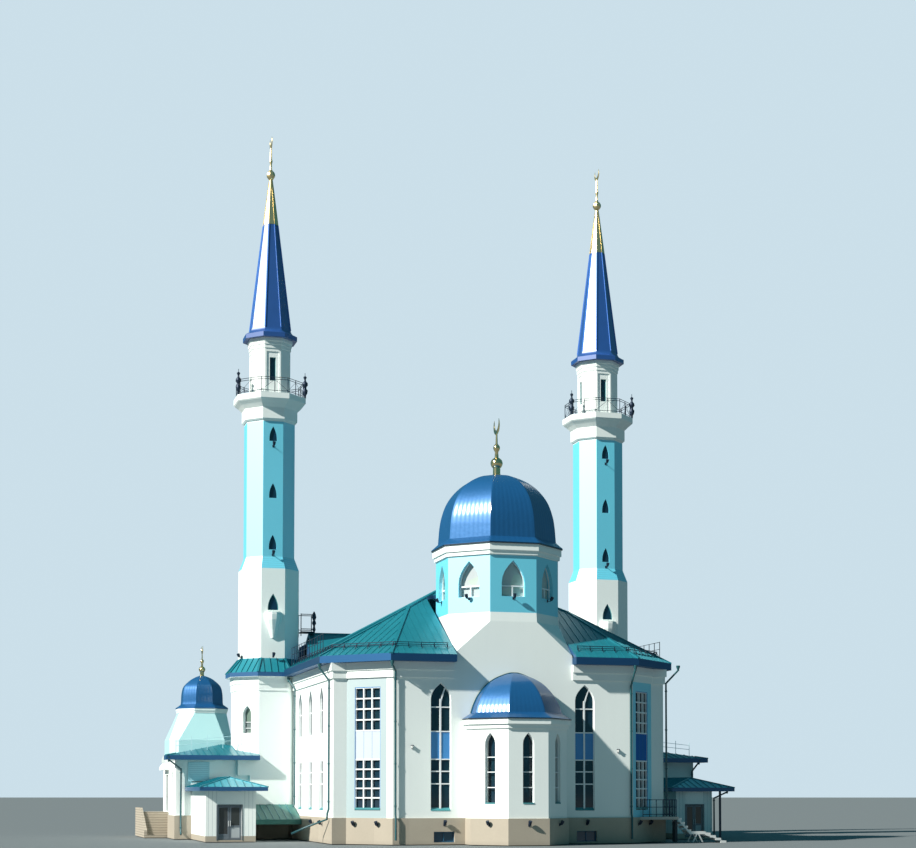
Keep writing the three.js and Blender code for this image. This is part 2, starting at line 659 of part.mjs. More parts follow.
// The wing's main body and the slightly wider block at its front.
const wingBodies = (grow, z) => join(
  box([WING_IN - Math.min(grow, 0), WING_OUT + grow], [WING_FRONT - grow, WING_BACK + grow], z),
  box([WING_IN - Math.min(grow, 0), BLOCK_OUT + grow], [WING_FRONT - grow, BLOCK_BACK + grow], z),
);

function buildWingWalls(openings) {
  const outer = join(wingBodies(0, [PLINTH_TOP, WING_TOP]), wingBodies(0.08, [0, PLINTH_TOP]));
  const room = wingBodies(-WING_WALL, [-1, WING_CEILING]);
  const backWindows = [12.6, 15.2].map((x) => box([x - 0.45, x + 0.45], [27, 29], WING_WINDOW.z));
  const body = cut(
    outer,
    room,
    ...backWindows,
    ...openings,
    ...minaretPlan(BASE_R + PLINTH_OUT, allHeights),
  );
  const flush = [MINARET_FRONT, WING_FRONT + WING_WALL];
  const filling = join(
    box([MINARET_CORNER - 0.4, 13.44], flush, [PLINTH_TOP, WING_TOP]),
    box([MINARET_CORNER - 0.4, 14.25], flush, [4.2, WING_TOP]),
  );
  return join(body, cut(filling, ...minaretPlan(BASE_R, allHeights)));
}

// Plan of the corner tower: a square with its corners cut.
function towerPlan(half) {
  const [cx, cy] = towerCentre;
  const short = half - TOWER_CHAMFER;
  const corner = [[short, -half], [half, -short]];
  const quarter = (k) => corner.map(([x, y]) => {
    const [c, s] = [[1, 0], [0, 1], [-1, 0], [0, -1]][k];
    return [cx + c * x - s * y, cy + s * x + c * y];
  });
  return [0, 1, 2, 3].flatMap(quarter);
}

// The wing's roof: eaves that overhang at the front and stay close to the walls at the side.
function buildWingRoof() {
  const x = [WING_IN, BLOCK_OUT + 0.75];
  const y = [WING_FRONT - WING_EAVE, WING_BACK + WING_EAVE];
  const form = hipForm(x, y, WING_FASCIA, WING_SLOPE);
  const shell = cut(form, form.translate([0, 0, -0.15 * M]));
  const ring = cut(join(form, box(x, y, [WING_TOP, WING_FASCIA])), wingBodies(-WING_WALL, allHeights));
  const beside = [
    box([BLOCK_OUT + 0.05, 20], [WING_FRONT + 0.4, 30], allHeights),
    box([WING_OUT + 0.05, 20], [BLOCK_BACK + 0.05, 30], allHeights),
  ];
  const tower = prism(towerPlan(TOWER_HALF + GAP), allHeights);
  const beforeMinaret = box([WING_IN - 1, MINARET_CORNER], [WING_FRONT - 2, WING_FRONT + 1], allHeights);
  return cut(join(shell, ring), ...beside, tower, beforeMinaret, ...minaretPlan(BASE_R, allHeights));
}

function buildWingTower() {
  const eight = (radius, z) => octagon(radius, towerCrown).map(([x, y]) => [x, y, z]);
  const foot = (half, z) => towerPlan(half).map(([x, y]) => [x, y, z]);
  const body = (shrink) => join(
    prism(towerPlan(TOWER_HALF - shrink), [WING_TOP - 2 * shrink, TOWER_SHOULDER]),
    hull([...foot(TOWER_HALF - shrink, TOWER_SHOULDER), ...eight(TOWER_R - shrink, TOWER_NECK)]),
  );
  const cornice = join(
    octagonTube(TOWER_R + 0.05, TOWER_R - 0.35, [TOWER_NECK, TOWER_STEP], towerCrown),
    octagonTube(TOWER_R + 0.1, TOWER_R - 0.35, [TOWER_STEP, TOWER_TOP], towerCrown),
  );
  const throat = prism(octagon(TOWER_R - 0.36, towerCrown), [TOWER_NECK - 0.3, TOWER_TOP + 1]);
  return cut(join(body(0), cornice), body(0.35), throat);
}

function buildWingDome() {
  const dome = turned(domeProfile(WING_DOME, 0.1), 8, towerCrown);
  return join(dome, finial(11.4, 0.62, towerCrown, 8));
}

// A porch: two side walls that turn in beside the doorway, and a hip roof with the wall over the doorway.
function porchPieces(side, walls, roof, doorway, postX) {
  const y = [PORCH_FRONT, WING_FRONT - 0.08 - GAP];
  const [x0, x1] = walls;
  const [d0, d1] = doorway;
  const hinge = { west: d0 + 0.07, east: d1 - 0.07 };
  const limb = (a, b, inner) => join(
    box([Math.min(a, inner), Math.max(a, inner)], y, [0, PORCH_TOP]),
    box([Math.min(a, b), Math.max(a, b)], [y[0], y[0] + PORCH_WALL], [0, PORCH_TOP]),
  );
  const sill = box([d0, d1], [y[0], y[0] + PORCH_WALL], [0, SILL]);
  const west = join(limb(x0, d0, x0 + PORCH_WALL), sill);
  const east = limb(x1, d1, x1 - PORCH_WALL);
  const windowX = [x0 - 1, x0 + PORCH_WALL + 0.1];
  const sideWindow = side === 'left' ? box(windowX, [9.9, 10.2], [1.2, 2.1]) : null;
  const form = hipForm(roof, [y[0] - PORCH_EAVE, y[1] + 3], PORCH_FASCIA, PORCH_SLOPE);
  const keep = box([roof[0] - 1, roof[1] + 1], [0, y[1]], allHeights);
  const shell = cut(form, form.translate([0, 0, -0.12 * M])).intersect(keep);
  const slab = box(roof, [y[0] - PORCH_EAVE, y[1]], [PORCH_TOP, PORCH_FASCIA]);
  const head = box([d0 + GAP, d1 - GAP], [y[0], y[0] + PORCH_WALL], [DOOR_HEAD, PORCH_TOP]);
  const post = postX ? box([postX - 0.06, postX + 0.06], [8.34, 8.46], [0, PORCH_TOP]) : null;
  return {
    west: sideWindow ? cut(west, sideWindow) : west,
    east,
    roof: join(shell, slab, head, ...(post ? [post] : [])),
    hinge,
  };
}

// A door leaf hung on floor and head pivots.
function doorLeaf(hingeX, edgeX) {
  const towards = Math.sign(edgeX - hingeX);
  const heel = hingeX - towards * PIVOT_INSET;
  const y0 = PORCH_FRONT + LEAF_SET_BACK;
  const panel = box(
    [Math.min(heel, edgeX), Math.max(heel, edgeX)],
    [y0, y0 + LEAF_THICK],
    [SILL + LEAF_GAP, DOOR_HEAD - LEAF_GAP],
  );
  const pivot = turned([
    [0, SILL + GAP], [PIVOT_R, SILL + GAP], [PIVOT_R, DOOR_HEAD - GAP], [0, DOOR_HEAD - GAP],
  ], 12, [hingeX, y0 + LEAF_THICK / 2]);
  return join(panel, pivot);
}

const leftPorchWalls = [-17.27, -14.14];

// The left wing's side entrance: steps along the wall, a fixed door, and a hood over it
const WING_FACE = WING_OUT + 0.08 + GAP;
const STEPS = {
  foot: 20.3, tread: 0.36, riser: 0.17, count: 10, end: 27.2, width: 1.75, cheek: 0.2, cheekRise: 0.3,
};

function buildSideSteps() {
  const { foot, tread, riser, count, end, width, cheek, cheekRise } = STEPS;
  const outer = -WING_FACE - width;
  const treads = Array.from({ length: count }, (_, k) => box(
    [outer, -WING_FACE], [foot + k * tread, end], [0, (k + 1) * riser],
  ));
  const top = foot + count * tread;
  const high = count * riser + cheekRise;
  const wall = hull([outer - cheek, outer].flatMap((x) => [
    [x, foot, 0], [x, end, 0], [x, foot, riser + cheekRise], [x, top, high], [x, end, high],
  ]));
  return join(...treads, wall);
}

function buildSideDoor() {
  const [y0, y1] = SIDE_DOOR.y;
  const [z0, z1] = SIDE_DOOR.z;
  return box([0.15 - WING_OUT, 0.25 - WING_OUT], [y0 + GAP, y1 - GAP], [z0 + GAP, z1 - GAP]);
}

function buildHood() {
  const wall = -WING_OUT - GAP;
  const [y0, y1] = SIDE_DOOR.y;
  const levels = [[0.42, 0.5, 4.65], [0.4, 0.5, 4.88], [0.22, 0, 5.15]];
  return hull(levels.flatMap(([out, over, z]) => [
    [wall, y0 - over, z], [wall - out, y0 - over, z], [wall - out, y1 + over, z], [wall, y1 + over, z],
  ]));
}

// The lean-to roof between the left porch and the hall
function buildLeanTo() {
  const x = [leftPorchWalls[1] + GAP, -HALL_HALF - PLINTH_OUT - GAP];
  const [back, front, thick] = [15.6, 12.3, 0.14];
  const [high, low] = [2.27, 1.3];
  const slope = hull(x.flatMap((side) => [
    [side, back, high], [side, front, low], [side, front, low - thick], [side, back, high - thick],
  ]));
  return join(slope, box(x, [front - 0.06, front + 0.08], [low - 0.3, low + 0.02]));
}

// The raised platform round the right corner of the hall, its railing, and the steel stair down from it
const DECK = {
  top: 1.57, thick: 0.17, front: 0.85, corner: 10.9, stair: 1.85, out: 11.4, back: 5.2, rail: 1.1,
};
const RAIL_INSET = 0.1;
const STAIR = { y: [0.95, 1.8], high: 1.6, landing: 0.66 };

// A square bar from one point to another.
const bar = (start, end, half) => hull([start, end].flatMap(
  ([x, y, z]) => [-half, half].flatMap((dx) => [-half, half].flatMap(
    (dy) => [-half, half].map((dz) => [x + dx, y + dy, z + dz]),
  )),
));

function buildDeck() {
  const { top, thick, front, corner, stair, out, back } = DECK;
  const side = stair + out - corner;
  const outline = [[8, front], [corner, front], [corner, stair], [out, side], [out, back], [8, back]];
  const inset = 0.13;
  const columns = [[corner - inset, front + inset], [out - inset, side + inset], [out - inset, back - inset]];
  return join(
    cut(prism(outline, [top - thick, top]), prism(hallPlan(PLINTH_OUT + GAP, HALL_BACK), allHeights)),
    ...columns.map(([x, y]) => box([x - 0.08, x + 0.08], [y - 0.08, y + 0.08], [0, top - thick])),
  );
}

function buildDeckRailing() {
  const { top, front, corner, stair, out, back, rail } = DECK;
  const inset = RAIL_INSET;
  const edge = out - inset;
  const spans = [
    [[8.6, front + inset], [corner - inset, front + inset]],
    [[corner - inset, stair + inset], [edge, stair + edge - corner + 2 * inset]],
    [[edge, stair + edge - corner + 2 * inset], [edge, back - inset]],
  ];
  const levels = [0.15, 0.6, rail].map((height) => top + height);
  const middle = ([[ax, ay], [bx, by]]) => [(ax + bx) / 2, (ay + by) / 2];
  const railed = (span) => {
    const [a, b] = span;
    const posts = [a, middle(span), b].map(
      ([x, y]) => box([x - 0.03, x + 0.03], [y - 0.03, y + 0.03], [top, top + rail + 0.03]),
    );
    return join(...posts, ...levels.map((z) => bar([...a, z], [...b, z], 0.025)));
  };
  const [first, ...others] = spans.map(railed);
  return { front: first, side: join(...others) };
}

// The steel stair: sawtooth stringers with treads on them, a landing, and legs spread like a V.
function buildSteelStair() {
  const { y, high, landing: middle } = STAIR;
  const start = DECK.corner;
  const flights = [
    { from: [start, high], to: [start + 0.85, middle], steps: 4 },
    { from: [start + 1.8, middle], to: [start + 3.2, 0], steps: 4 },
  ];
  const thick = 0.05;
  const deep = 0.22;
  const plate = (edge, corners) => hull(
    [edge, edge + thick].flatMap((side) => corners.map(([x, z]) => [x, side, Math.max(z, 0)])),
  );
  const stringers = flights.flatMap(({ from, to }) => y.map((edge) => plate(edge, [
    [from[0], from[1] - 0.06], [to[0], to[1] - 0.06], [from[0], from[1] - deep], [to[0], to[1] - deep],
  ])));
  const treads = flights.flatMap(({ from, to, steps }) => Array.from({ length: steps }, (_, k) => {
    const x = from[0] + (k / steps) * (to[0] - from[0]);
    const z = from[1] + ((k + 0.5) / steps) * (to[1] - from[1]);
    return box([x, x + (to[0] - from[0]) / steps + 0.03], [y[0], y[1] + thick], [z - 0.13, z]);
  }));
  const landing = box([start + 0.8, start + 1.85], [y[0], y[1] + thick], [middle - 0.17, middle]);
  const legs = y.flatMap((edge) => [
    [[start + 1.3, middle - 0.1], [start + 1.0, 0]],
    [[start + 1.35, middle - 0.1], [start + 1.65, 0]],
  ].map(([[tx, tz], [fx, fz]]) => plate(edge, [
    [tx - 0.04, tz], [tx + 0.04, tz], [fx - 0.04, fz], [fx + 0.04, fz],
  ])));
  return join(landing, ...stringers, ...treads, ...legs);
}

piece('plinth', buildPlinth(), 'stone');
piece('hall_floor', floorSlab([PLINTH_TOP, FLOOR_TOP]), 'concrete');
const floorWell = box([-BAY_WELL, BAY_WELL], [-9, 7], allHeights);
piece('upper_floor', cut(floorSlab(UPPER_FLOOR), floorWell), 'concrete');
piece('front_wall', buildFrontWall(), 'white');
piece('wall_right', buildRightWall(), 'white');
piece('wall_left', mirrorX(buildRightWall()), 'white');
piece('niche_wall', buildNicheWall(), 'white');
piece('niche_dome', buildNicheDome(), 'blue');
piece('entrance_wall', buildEntranceWall(), 'white');
piece('ceiling_cornice', buildCeiling(), 'white');
piece('eaves_right', buildRightEaves(), 'navy');
piece('eaves_left', mirrorX(buildRightEaves()), 'navy');
piece('main_roof', buildMainRoof(), 'roof');
piece('entrance_roof', buildEntranceRoof(), 'roof');
piece('base_tower', buildBaseTower(), 'white');
piece('drum', buildDrum(), 'turquoise');
piece('dome', turned(domeProfile(DOME, DOME_SHELL), 8, [0, DRUM_Y]), 'blue');
piece('dome_finial', finial(22.75, 1.08, [0, DRUM_Y]), 'gold');

piece('front_window_left', windowCut(TALL_WINDOW, -TALL_WINDOW.x, [0.18, 0.26], GAP), 'glass');
piece('front_window_right', windowCut(TALL_WINDOW, TALL_WINDOW.x, [0.18, 0.26], GAP), 'glass');
piece('corner_window_right', buildCornerWindow(), 'glass');
piece('corner_window_left', mirrorX(buildCornerWindow()), 'glass');
piece('drum_glass', buildDrumGlass(), 'glass');
piece('niche_glass', cut(
  prism(nichePlan(-NICHE_WALL - GAP, -0.05), [FLOOR_TOP + 0.02, NICHE_TOP - 0.02]),
  prism(nichePlan(-NICHE_WALL - 0.06, 1), allHeights),
), 'glass');

minaretCentres.forEach(([x, y]) => {
  const side = x < 0 ? 'left' : 'right';
  const minaret = new THREE.Group();
  minaret.position.set(x * M, y * M, 0);
  model.add(minaret);
  piece(`minaret_base_${side}`, minaretBase(Math.sign(x)), 'white', minaret);
  piece(`minaret_shaft_${side}`, minaretShaft(), 'turquoise', minaret);
  piece(`minaret_gallery_${side}`, minaretGallery(), 'white', minaret);
  piece(`minaret_railing_${side}`, minaretRailing(), 'iron', minaret);
  piece(`minaret_spire_${side}`, minaretSpire(), 'blue', minaret);
});

const wingOpenings = {
  right: [18.2, 20.6, 23.0, 25.4].map(wingSideWindow),
  left: [
    ...[18.2, 20.6, 23.0].map(wingSideWindow),
    box([17, 19], SIDE_DOOR.y, SIDE_DOOR.z),
    FRONT_WINDOW,
  ],
};
[['right', (solid) => solid], ['left', mirrorX]].forEach(([side, place]) => {
  piece(`wing_walls_${side}`, place(buildWingWalls(wingOpenings[side])), 'white');
  piece(`wing_roof_${side}`, place(buildWingRoof()), 'roof');
  piece(`wing_tower_${side}`, place(buildWingTower()), 'white');
  piece(`wing_dome_${side}`, place(buildWingDome()), 'blue');
});

const leftPorch = porchPieces('left', leftPorchWalls, [-17.7, -13.46], [-16.53, -15.02], null);
piece('porch_wall_left_west', leftPorch.west, 'white');
piece('porch_wall_left_east', leftPorch.east, 'white');
piece('porch_roof_left', leftPorch.roof, 'roof');
piece('door_left_west', doorLeaf(leftPorch.hinge.west, -15.775 - LEAF_GAP / 2), 'glass');
piece('door_left_east', doorLeaf(leftPorch.hinge.east, -15.775 + LEAF_GAP / 2), 'glass');

const rightPorch = porchPieces('right', [13.92, 16.51], [13.46, 17.93], [14.63, 15.88], 17.0);
piece('porch_wall_right_west', rightPorch.west, 'white');
piece('porch_wall_right_east', rightPorch.east, 'white');
piece('porch_roof_right', rightPorch.roof, 'roof');
piece('door_right_west', doorLeaf(rightPorch.hinge.west, 15.255 - LEAF_GAP / 2), 'glass');
piece('door_right_east', doorLeaf(rightPorch.hinge.east, 15.255 + LEAF_GAP / 2), 'glass');

piece('lean_to_roof', buildLeanTo(), 'roof');
piece('wing_steps_left', buildSideSteps(), 'stone');
piece('wing_side_door_left', buildSideDoor(), 'navy');
piece('wing_door_hood_left', buildHood(), 'white');
piece('corner_platform_right', buildDeck(), 'concrete');
const deckRailing = buildDeckRailing();
piece('platform_railing_right', deckRailing.front, 'iron');
piece('platform_railing_side', deckRailing.side, 'iron');
piece('steel_stair_right', buildSteelStair(), 'white');

export default model;
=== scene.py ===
"""Looks for a half-size model of a mosque: paint, glass, window bars, seams, gutters, rails and lamps.

Sizes are the real building's, in metres; SCALE brings every new piece to the model's size.
The origin is on the ground in the plane of the front wall; -Y is the front, +X the right, +Z up.
"""
import math

import bmesh
import bpy
import numpy as np
from bpy.props import FloatProperty, FloatVectorProperty, PointerProperty
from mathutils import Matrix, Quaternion, Vector


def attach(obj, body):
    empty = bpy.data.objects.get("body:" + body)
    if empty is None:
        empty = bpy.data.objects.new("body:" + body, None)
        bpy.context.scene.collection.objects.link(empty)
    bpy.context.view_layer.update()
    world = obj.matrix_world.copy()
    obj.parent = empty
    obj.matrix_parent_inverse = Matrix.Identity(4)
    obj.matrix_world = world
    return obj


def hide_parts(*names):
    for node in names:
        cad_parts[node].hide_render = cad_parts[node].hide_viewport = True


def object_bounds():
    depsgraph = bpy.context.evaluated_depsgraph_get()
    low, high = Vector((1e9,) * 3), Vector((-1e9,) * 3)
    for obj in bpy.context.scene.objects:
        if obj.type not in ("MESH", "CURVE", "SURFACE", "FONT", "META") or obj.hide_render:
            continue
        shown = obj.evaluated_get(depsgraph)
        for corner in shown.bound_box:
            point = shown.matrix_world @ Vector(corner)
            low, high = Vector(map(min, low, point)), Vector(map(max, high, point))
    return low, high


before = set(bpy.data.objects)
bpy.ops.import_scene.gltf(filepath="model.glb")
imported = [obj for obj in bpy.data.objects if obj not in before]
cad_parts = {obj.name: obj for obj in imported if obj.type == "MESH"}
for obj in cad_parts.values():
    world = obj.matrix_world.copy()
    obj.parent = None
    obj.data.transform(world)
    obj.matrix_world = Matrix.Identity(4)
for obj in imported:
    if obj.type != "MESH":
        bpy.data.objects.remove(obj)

bl_info = {
    "name": "Mosque finish",
    "version": (1, 0, 0),
    "blender": (4, 5, 0),
    "location": "View3D > Sidebar > Mosque",
    "description": "Dresses the mosque model with paint, glass, bars, seams, rails and lamps",
    "category": "Object",
}

SCALE = 0.5
BUILDING = "building"
CAD_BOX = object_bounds()
VIEW = "Standard"

# Places taken over from the model, in real metres
FRONT_HALF = 7.4
HALL_HALF = 10.5
PLINTH_TOP = 1.55
FASCIA_TOP = 11.2
EAVE_OUT = 0.77
ROOF_SLOPE = 0.555
BAY_HALF = 3.71
HALL_BACK = 16.4
BACK_WALL = 22.2
DRUM_CENTRE = (0.0, 3.55)
DRUM_R = 3.8
NICHE_R = 3.18
MINARET_X = 11.9
MINARET_Y = 18.06
FLAT = math.cos(math.pi / 8)
MERGE = 1e-5
FOOT_R = 2.55
LEFT_RIGHT = (("left", -1), ("right", 1))


def minaret_place(sign):
    """Foot of the axis of the left (-1) or the right (1) minaret."""
    return sign * MINARET_X, MINARET_Y, 0


def grid_faces(rows, cols, wrap_rows=False, wrap_cols=False):
    """Quads between neighbouring points of a rows by cols grid, as one index array."""
    i = np.arange(rows if wrap_rows else rows - 1)
    j = np.arange(cols if wrap_cols else cols - 1)
    a, b = np.meshgrid(i, j, indexing="ij")
    c, d = (a + 1) % rows, (b + 1) % cols
    return np.stack([a * cols + b, a * cols + d, c * cols + d, c * cols + b], -1).reshape(-1, 4)


def joined(*parts):
    """Several (points, faces) surfaces as one."""
    points, faces, count = [], [], 0
    for verts, quads in parts:
        points.append(np.asarray(verts, float).reshape(-1, 3))
        faces.extend((np.asarray(f) + count for f in quads))
        count += len(points[-1])
    return np.concatenate(points), faces


def moved(surface, shift=(0, 0, 0), degrees=0.0, centre=(0, 0), mirror=False):
    """Points turned about an upright axis through centre, then shifted, then mirrored left to right."""
    verts, faces = surface
    c, s = math.cos(math.radians(degrees)), math.sin(math.radians(degrees))
    mid = np.array([centre[0], centre[1], 0.0])
    turn = np.array([[c, -s, 0], [s, c, 0], [0, 0, 1]])
    verts = (np.asarray(verts, float) - mid) @ turn.T + mid + np.asarray(shift, float)
    if mirror:
        verts = verts * np.array([-1, 1, 1])
        faces = [np.asarray(f)[::-1] for f in faces]
    return verts, faces


def ringed(part, shift, turns, centre=(0, 0)):
    """Copies of a part, shifted and then turned about an upright axis through centre."""
    return [moved(moved(part, shift), degrees=turn, centre=centre) for turn in turns]


BOX_CORNERS = np.array([[0, 0, 0], [1, 0, 0], [1, 1, 0], [0, 1, 0],
                        [0, 0, 1], [1, 0, 1], [1, 1, 1], [0, 1, 1]])
BOX_FACES = np.array([[0, 3, 2, 1], [4, 5, 6, 7], [0, 1, 5, 4], [1, 2, 6, 5], [2, 3, 7, 6], [3, 0, 4, 7]])
RIB_FACES = np.array([[0, 1, 2, 3], [4, 7, 6, 5], [0, 4, 5, 1], [1, 5, 6, 2], [2, 6, 7, 3], [3, 7, 4, 0]])


def boxes(spans):
    """Many upright boxes, each span x0, x1, y0, y1, z0, z1: a corner is low + (high - low) * 0 or 1."""
    spans = np.asarray(spans, float).reshape(-1, 3, 2)
    low, high = spans[:, None, :, 0], spans[:, None, :, 1]
    verts = low + (high - low) * BOX_CORNERS
    faces = BOX_FACES[None] + 8 * np.arange(len(spans))[:, None, None]
    return verts.reshape(-1, 3), faces.reshape(-1, 4)


def strips(starts, ends, normals, width, height, sink=0.0):
    """Straight ribs on a surface: a box from each start to its end, standing height along its normal."""
    a, b, n = (np.asarray(v, float).reshape(-1, 3) for v in (starts, ends, normals))
    n = np.broadcast_to(n, a.shape)
    run = (b - a) / np.linalg.norm(b - a, axis=1, keepdims=True)
    side = np.cross(n, run)
    side /= np.linalg.norm(side, axis=1, keepdims=True)
    up = np.cross(run, side)
    w, low, high = side * width / 2, -sink * up, height * up
    verts = np.stack([a - w + low, a + w + low, a + w + high, a - w + high,
                      b - w + low, b + w + low, b + w + high, b - w + high], 1)
    faces = RIB_FACES[None] + 8 * np.arange(len(a))[:, None, None]
    return verts.reshape(-1, 3), faces.reshape(-1, 4)


def carried(profile, path, normal, closed=False):
    """A profile carried along a path that lies in a plane with this normal.

    A profile point (a, b) at path point p becomes p + a * side + b * normal, where side is the mitred
    direction across the path: the sum of the two neighbouring stretches' sides over 1 plus their cosine.
    """
    profile, path, n = np.asarray(profile, float), np.asarray(path, float), np.asarray(normal, float)
    n = n / np.linalg.norm(n)
    after = np.roll(path, -1, 0) - path
    before = path - np.roll(path, 1, 0)
    if not closed:
        after[-1], before[0] = before[-1], after[0]
    s0 = np.cross(n, before / np.linalg.norm(before, axis=1, keepdims=True))
    s1 = np.cross(n, after / np.linalg.norm(after, axis=1, keepdims=True))
    side = (s0 + s1) / (1 + np.sum(s0 * s1, 1, keepdims=True))
    verts = path[:, None] + profile[None, :, :1] * side[:, None] + profile[None, :, 1:] * n
    rows, cols = len(path), len(profile)
    faces = list(grid_faces(rows, cols, closed, True))
    if not closed:
        faces += [np.arange(cols)[::-1], np.arange(cols) + (rows - 1) * cols]
    return verts.reshape(-1, 3), faces


def turned(profile, sides, centre=(0, 0)):
    """A turned body: profile points (radius, height) at the angles 2 pi (k + 1/2) / sides."""
    profile = np.asarray(profile, float)
    angle = 2 * np.pi * (np.arange(sides) + 0.5) / sides
    r, z = profile[:, :1], profile[:, 1:]
    verts = np.stack([r * np.cos(angle), r * np.sin(angle), z + 0 * angle], -1) + [centre[0], centre[1], 0]
    return verts.reshape(-1, 3), grid_faces(len(profile), sides, False, True)


def rectangle(a0, a1, b0, b1):
    """Corners of a rectangle from (a0, b0) to (a1, b1), in order, as a profile."""
    return np.array([[a0, b0], [a1, b0], [a1, b1], [a0, b1]])


PAINTS = {}
SMOOTH = 25.0  # degrees: flatter edges are shaded smooth


def make(name, surface, paint, crease=None, replaces=(), body=BUILDING):
    """A finished object from a surface in real metres: points times SCALE.

    Edges sharper than crease degrees stay sharp. Where a crease is given, points that meet are merged first.
    """
    verts, faces = surface
    mesh = bpy.data.meshes.new(name)
    mesh.from_pydata((np.asarray(verts) * SCALE).tolist(), [], [list(map(int, f)) for f in faces])
    form = bmesh.new()
    form.from_mesh(mesh)
    if crease:
        bmesh.ops.remove_doubles(form, verts=form.verts, dist=MERGE)
        bmesh.ops.dissolve_degenerate(form, edges=form.edges, dist=MERGE)
    limit = math.radians(crease or SMOOTH)
    for edge in form.edges:
        edge.smooth = edge.calc_face_angle(0.0) < limit
    for face in form.faces:
        face.smooth = True
    form.to_mesh(mesh)
    form.free()
    mesh.materials.append(PAINTS[paint])
    piece = bpy.data.objects.new(name, mesh)
    bpy.context.scene.collection.objects.link(piece)
    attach(piece, body)
    if replaces:
        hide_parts(*replaces)


class Paint:
    """A material in the making: its shader, and short ways to add nodes that work in real metres."""

    def __init__(self, name, roughness, **sockets):
        self.material = bpy.data.materials.new(name)
        self.material.use_nodes = True
        self.nodes = self.material.node_tree.nodes
        self.links = self.material.node_tree.links
        self.shader = self.nodes["Principled BSDF"]
        self.set(self.shader, "Roughness", roughness)
        for socket, value in sockets.items():
            self.set(self.shader, socket.replace("_", " "), value)

    def set(self, node, socket, value):
        """Link a node's input to a socket, or set it to a value."""
        if isinstance(value, bpy.types.NodeSocket):
            self.links.new(value, node.inputs[socket])
        else:
            node.inputs[socket].default_value = value

    def node(self, kind, inputs, **settings):
        """The outputs of a new shader node of this kind."""
        made = self.nodes.new("ShaderNode" + kind)
        for key, value in settings.items():
            setattr(made, key, value)
        for socket, value in inputs.items():
            self.set(made, socket, value)
        return made.outputs

    def place(self, stretch=(1, 1, 1)):
        """Object coordinates in real metres, times a stretch along each axis."""
        coordinates = self.node("TexCoord", {})["Object"]
        scale = [k / SCALE for k in stretch]
        return self.node("Mapping", {"Vector": coordinates, "Scale": scale})[0]

    def facing(self):
        """The surface's own normal, split into x, y and z."""
        return self.node("SeparateXYZ", {0: self.node("TexCoord", {})["Normal"]})

    def split(self):
        """Object coordinates in real metres, split into x, y and z."""
        return self.node("SeparateXYZ", {0: self.place()})

    def math(self, operation, a, b=0.0, c=0.0, clamp=False):
        """The result of one operation on a, b and c."""
        return self.node("Math", {0: a, 1: b, 2: c}, operation=operation, use_clamp=clamp)[0]

    def times(self, a, b):
        """The product of two values."""
        return self.math("MULTIPLY", a, b)

    def over(self, value, limit):
        """1 where value is greater than limit, else 0."""
        return self.math("GREATER_THAN", value, limit)

    def under(self, value, limit):
        """1 where value is less than limit, else 0."""
        return self.math("LESS_THAN", value, limit)

    def repeat(self, value, length):
        """The fraction part of value / length."""
        return self.math("FRACT", self.math("DIVIDE", value, length))

    def upright(self):
        """1 on faces that stand upright, else 0."""
        return self.under(self.math("ABSOLUTE", self.facing()["Z"]), 0.4)

    def between(self, value, low, high, soft=0.01):
        """1 where value lies from low to high, with a soft edge."""
        rise = self.math("MULTIPLY_ADD", value, 1 / soft, 0.5 - low / soft, clamp=True)
        fall = self.math("MULTIPLY_ADD", value, -1 / soft, 0.5 + high / soft, clamp=True)
        return self.times(rise, fall)

    def noise(self, scale, detail=3.0, stretch=(1, 1, 1)):
        """A slow random value from 0 to 1 across the stretched place."""
        inputs = {"Vector": self.place(stretch), "Scale": scale, "Detail": detail}
        return self.node("TexNoise", inputs)["Fac"]

    def mix(self, share, a, b):
        """Colour a * (1 - share) + b * share."""
        return self.node("MixRGB", {"Fac": share, "Color1": a, "Color2": b})[0]

    def weathered(self, colour, amount, scale=0.35, stretch=(1, 1, 1)):
        """Colour times 1 plus or minus amount, after a slow noise, with finer mottling at half of it."""
        slow = self.math("MULTIPLY_ADD", self.noise(scale, 4.0, stretch), 2 * amount, 1 - amount)
        fine = self.math("MULTIPLY_ADD", self.noise(9.0, 2.0), amount, 1 - amount / 2)
        grey = self.node("CombineXYZ", {axis: self.times(slow, fine) for axis in "XYZ"})[0]
        return self.tinted(colour, grey)

    def tinted(self, a, b):
        """The product of two colours."""
        return self.node("MixRGB", {"Fac": 1.0, "Color1": a, "Color2": b}, blend_type="MULTIPLY")[0]

    def streaked(self, white):
        """White with faint upright rain streaks."""
        streaks = self.noise(1.6, 3.0, (1, 1, 0.06))
        return self.mix(self.times(streaks, 0.1), rgba(white), RAIN_GREY)

    def bump(self, height, strength, distance=0.004):
        """Relief from a height, which at 1 stands distance out in real metres."""
        made = self.node("Bump", {"Height": height, "Strength": strength, "Distance": distance * SCALE})
        self.set(self.shader, "Normal", made[0])

    def colour(self, value):
        """The finished material, with this base colour."""
        self.set(self.shader, "Base Color", value)
        return self.material


def rgba(values):
    """Three colour parts with an alpha of 1."""
    return (*values[:3], 1.0)


def darker(values, share):
    """Each part of a colour times share."""
    return rgba([share * c for c in values])


# Finishes

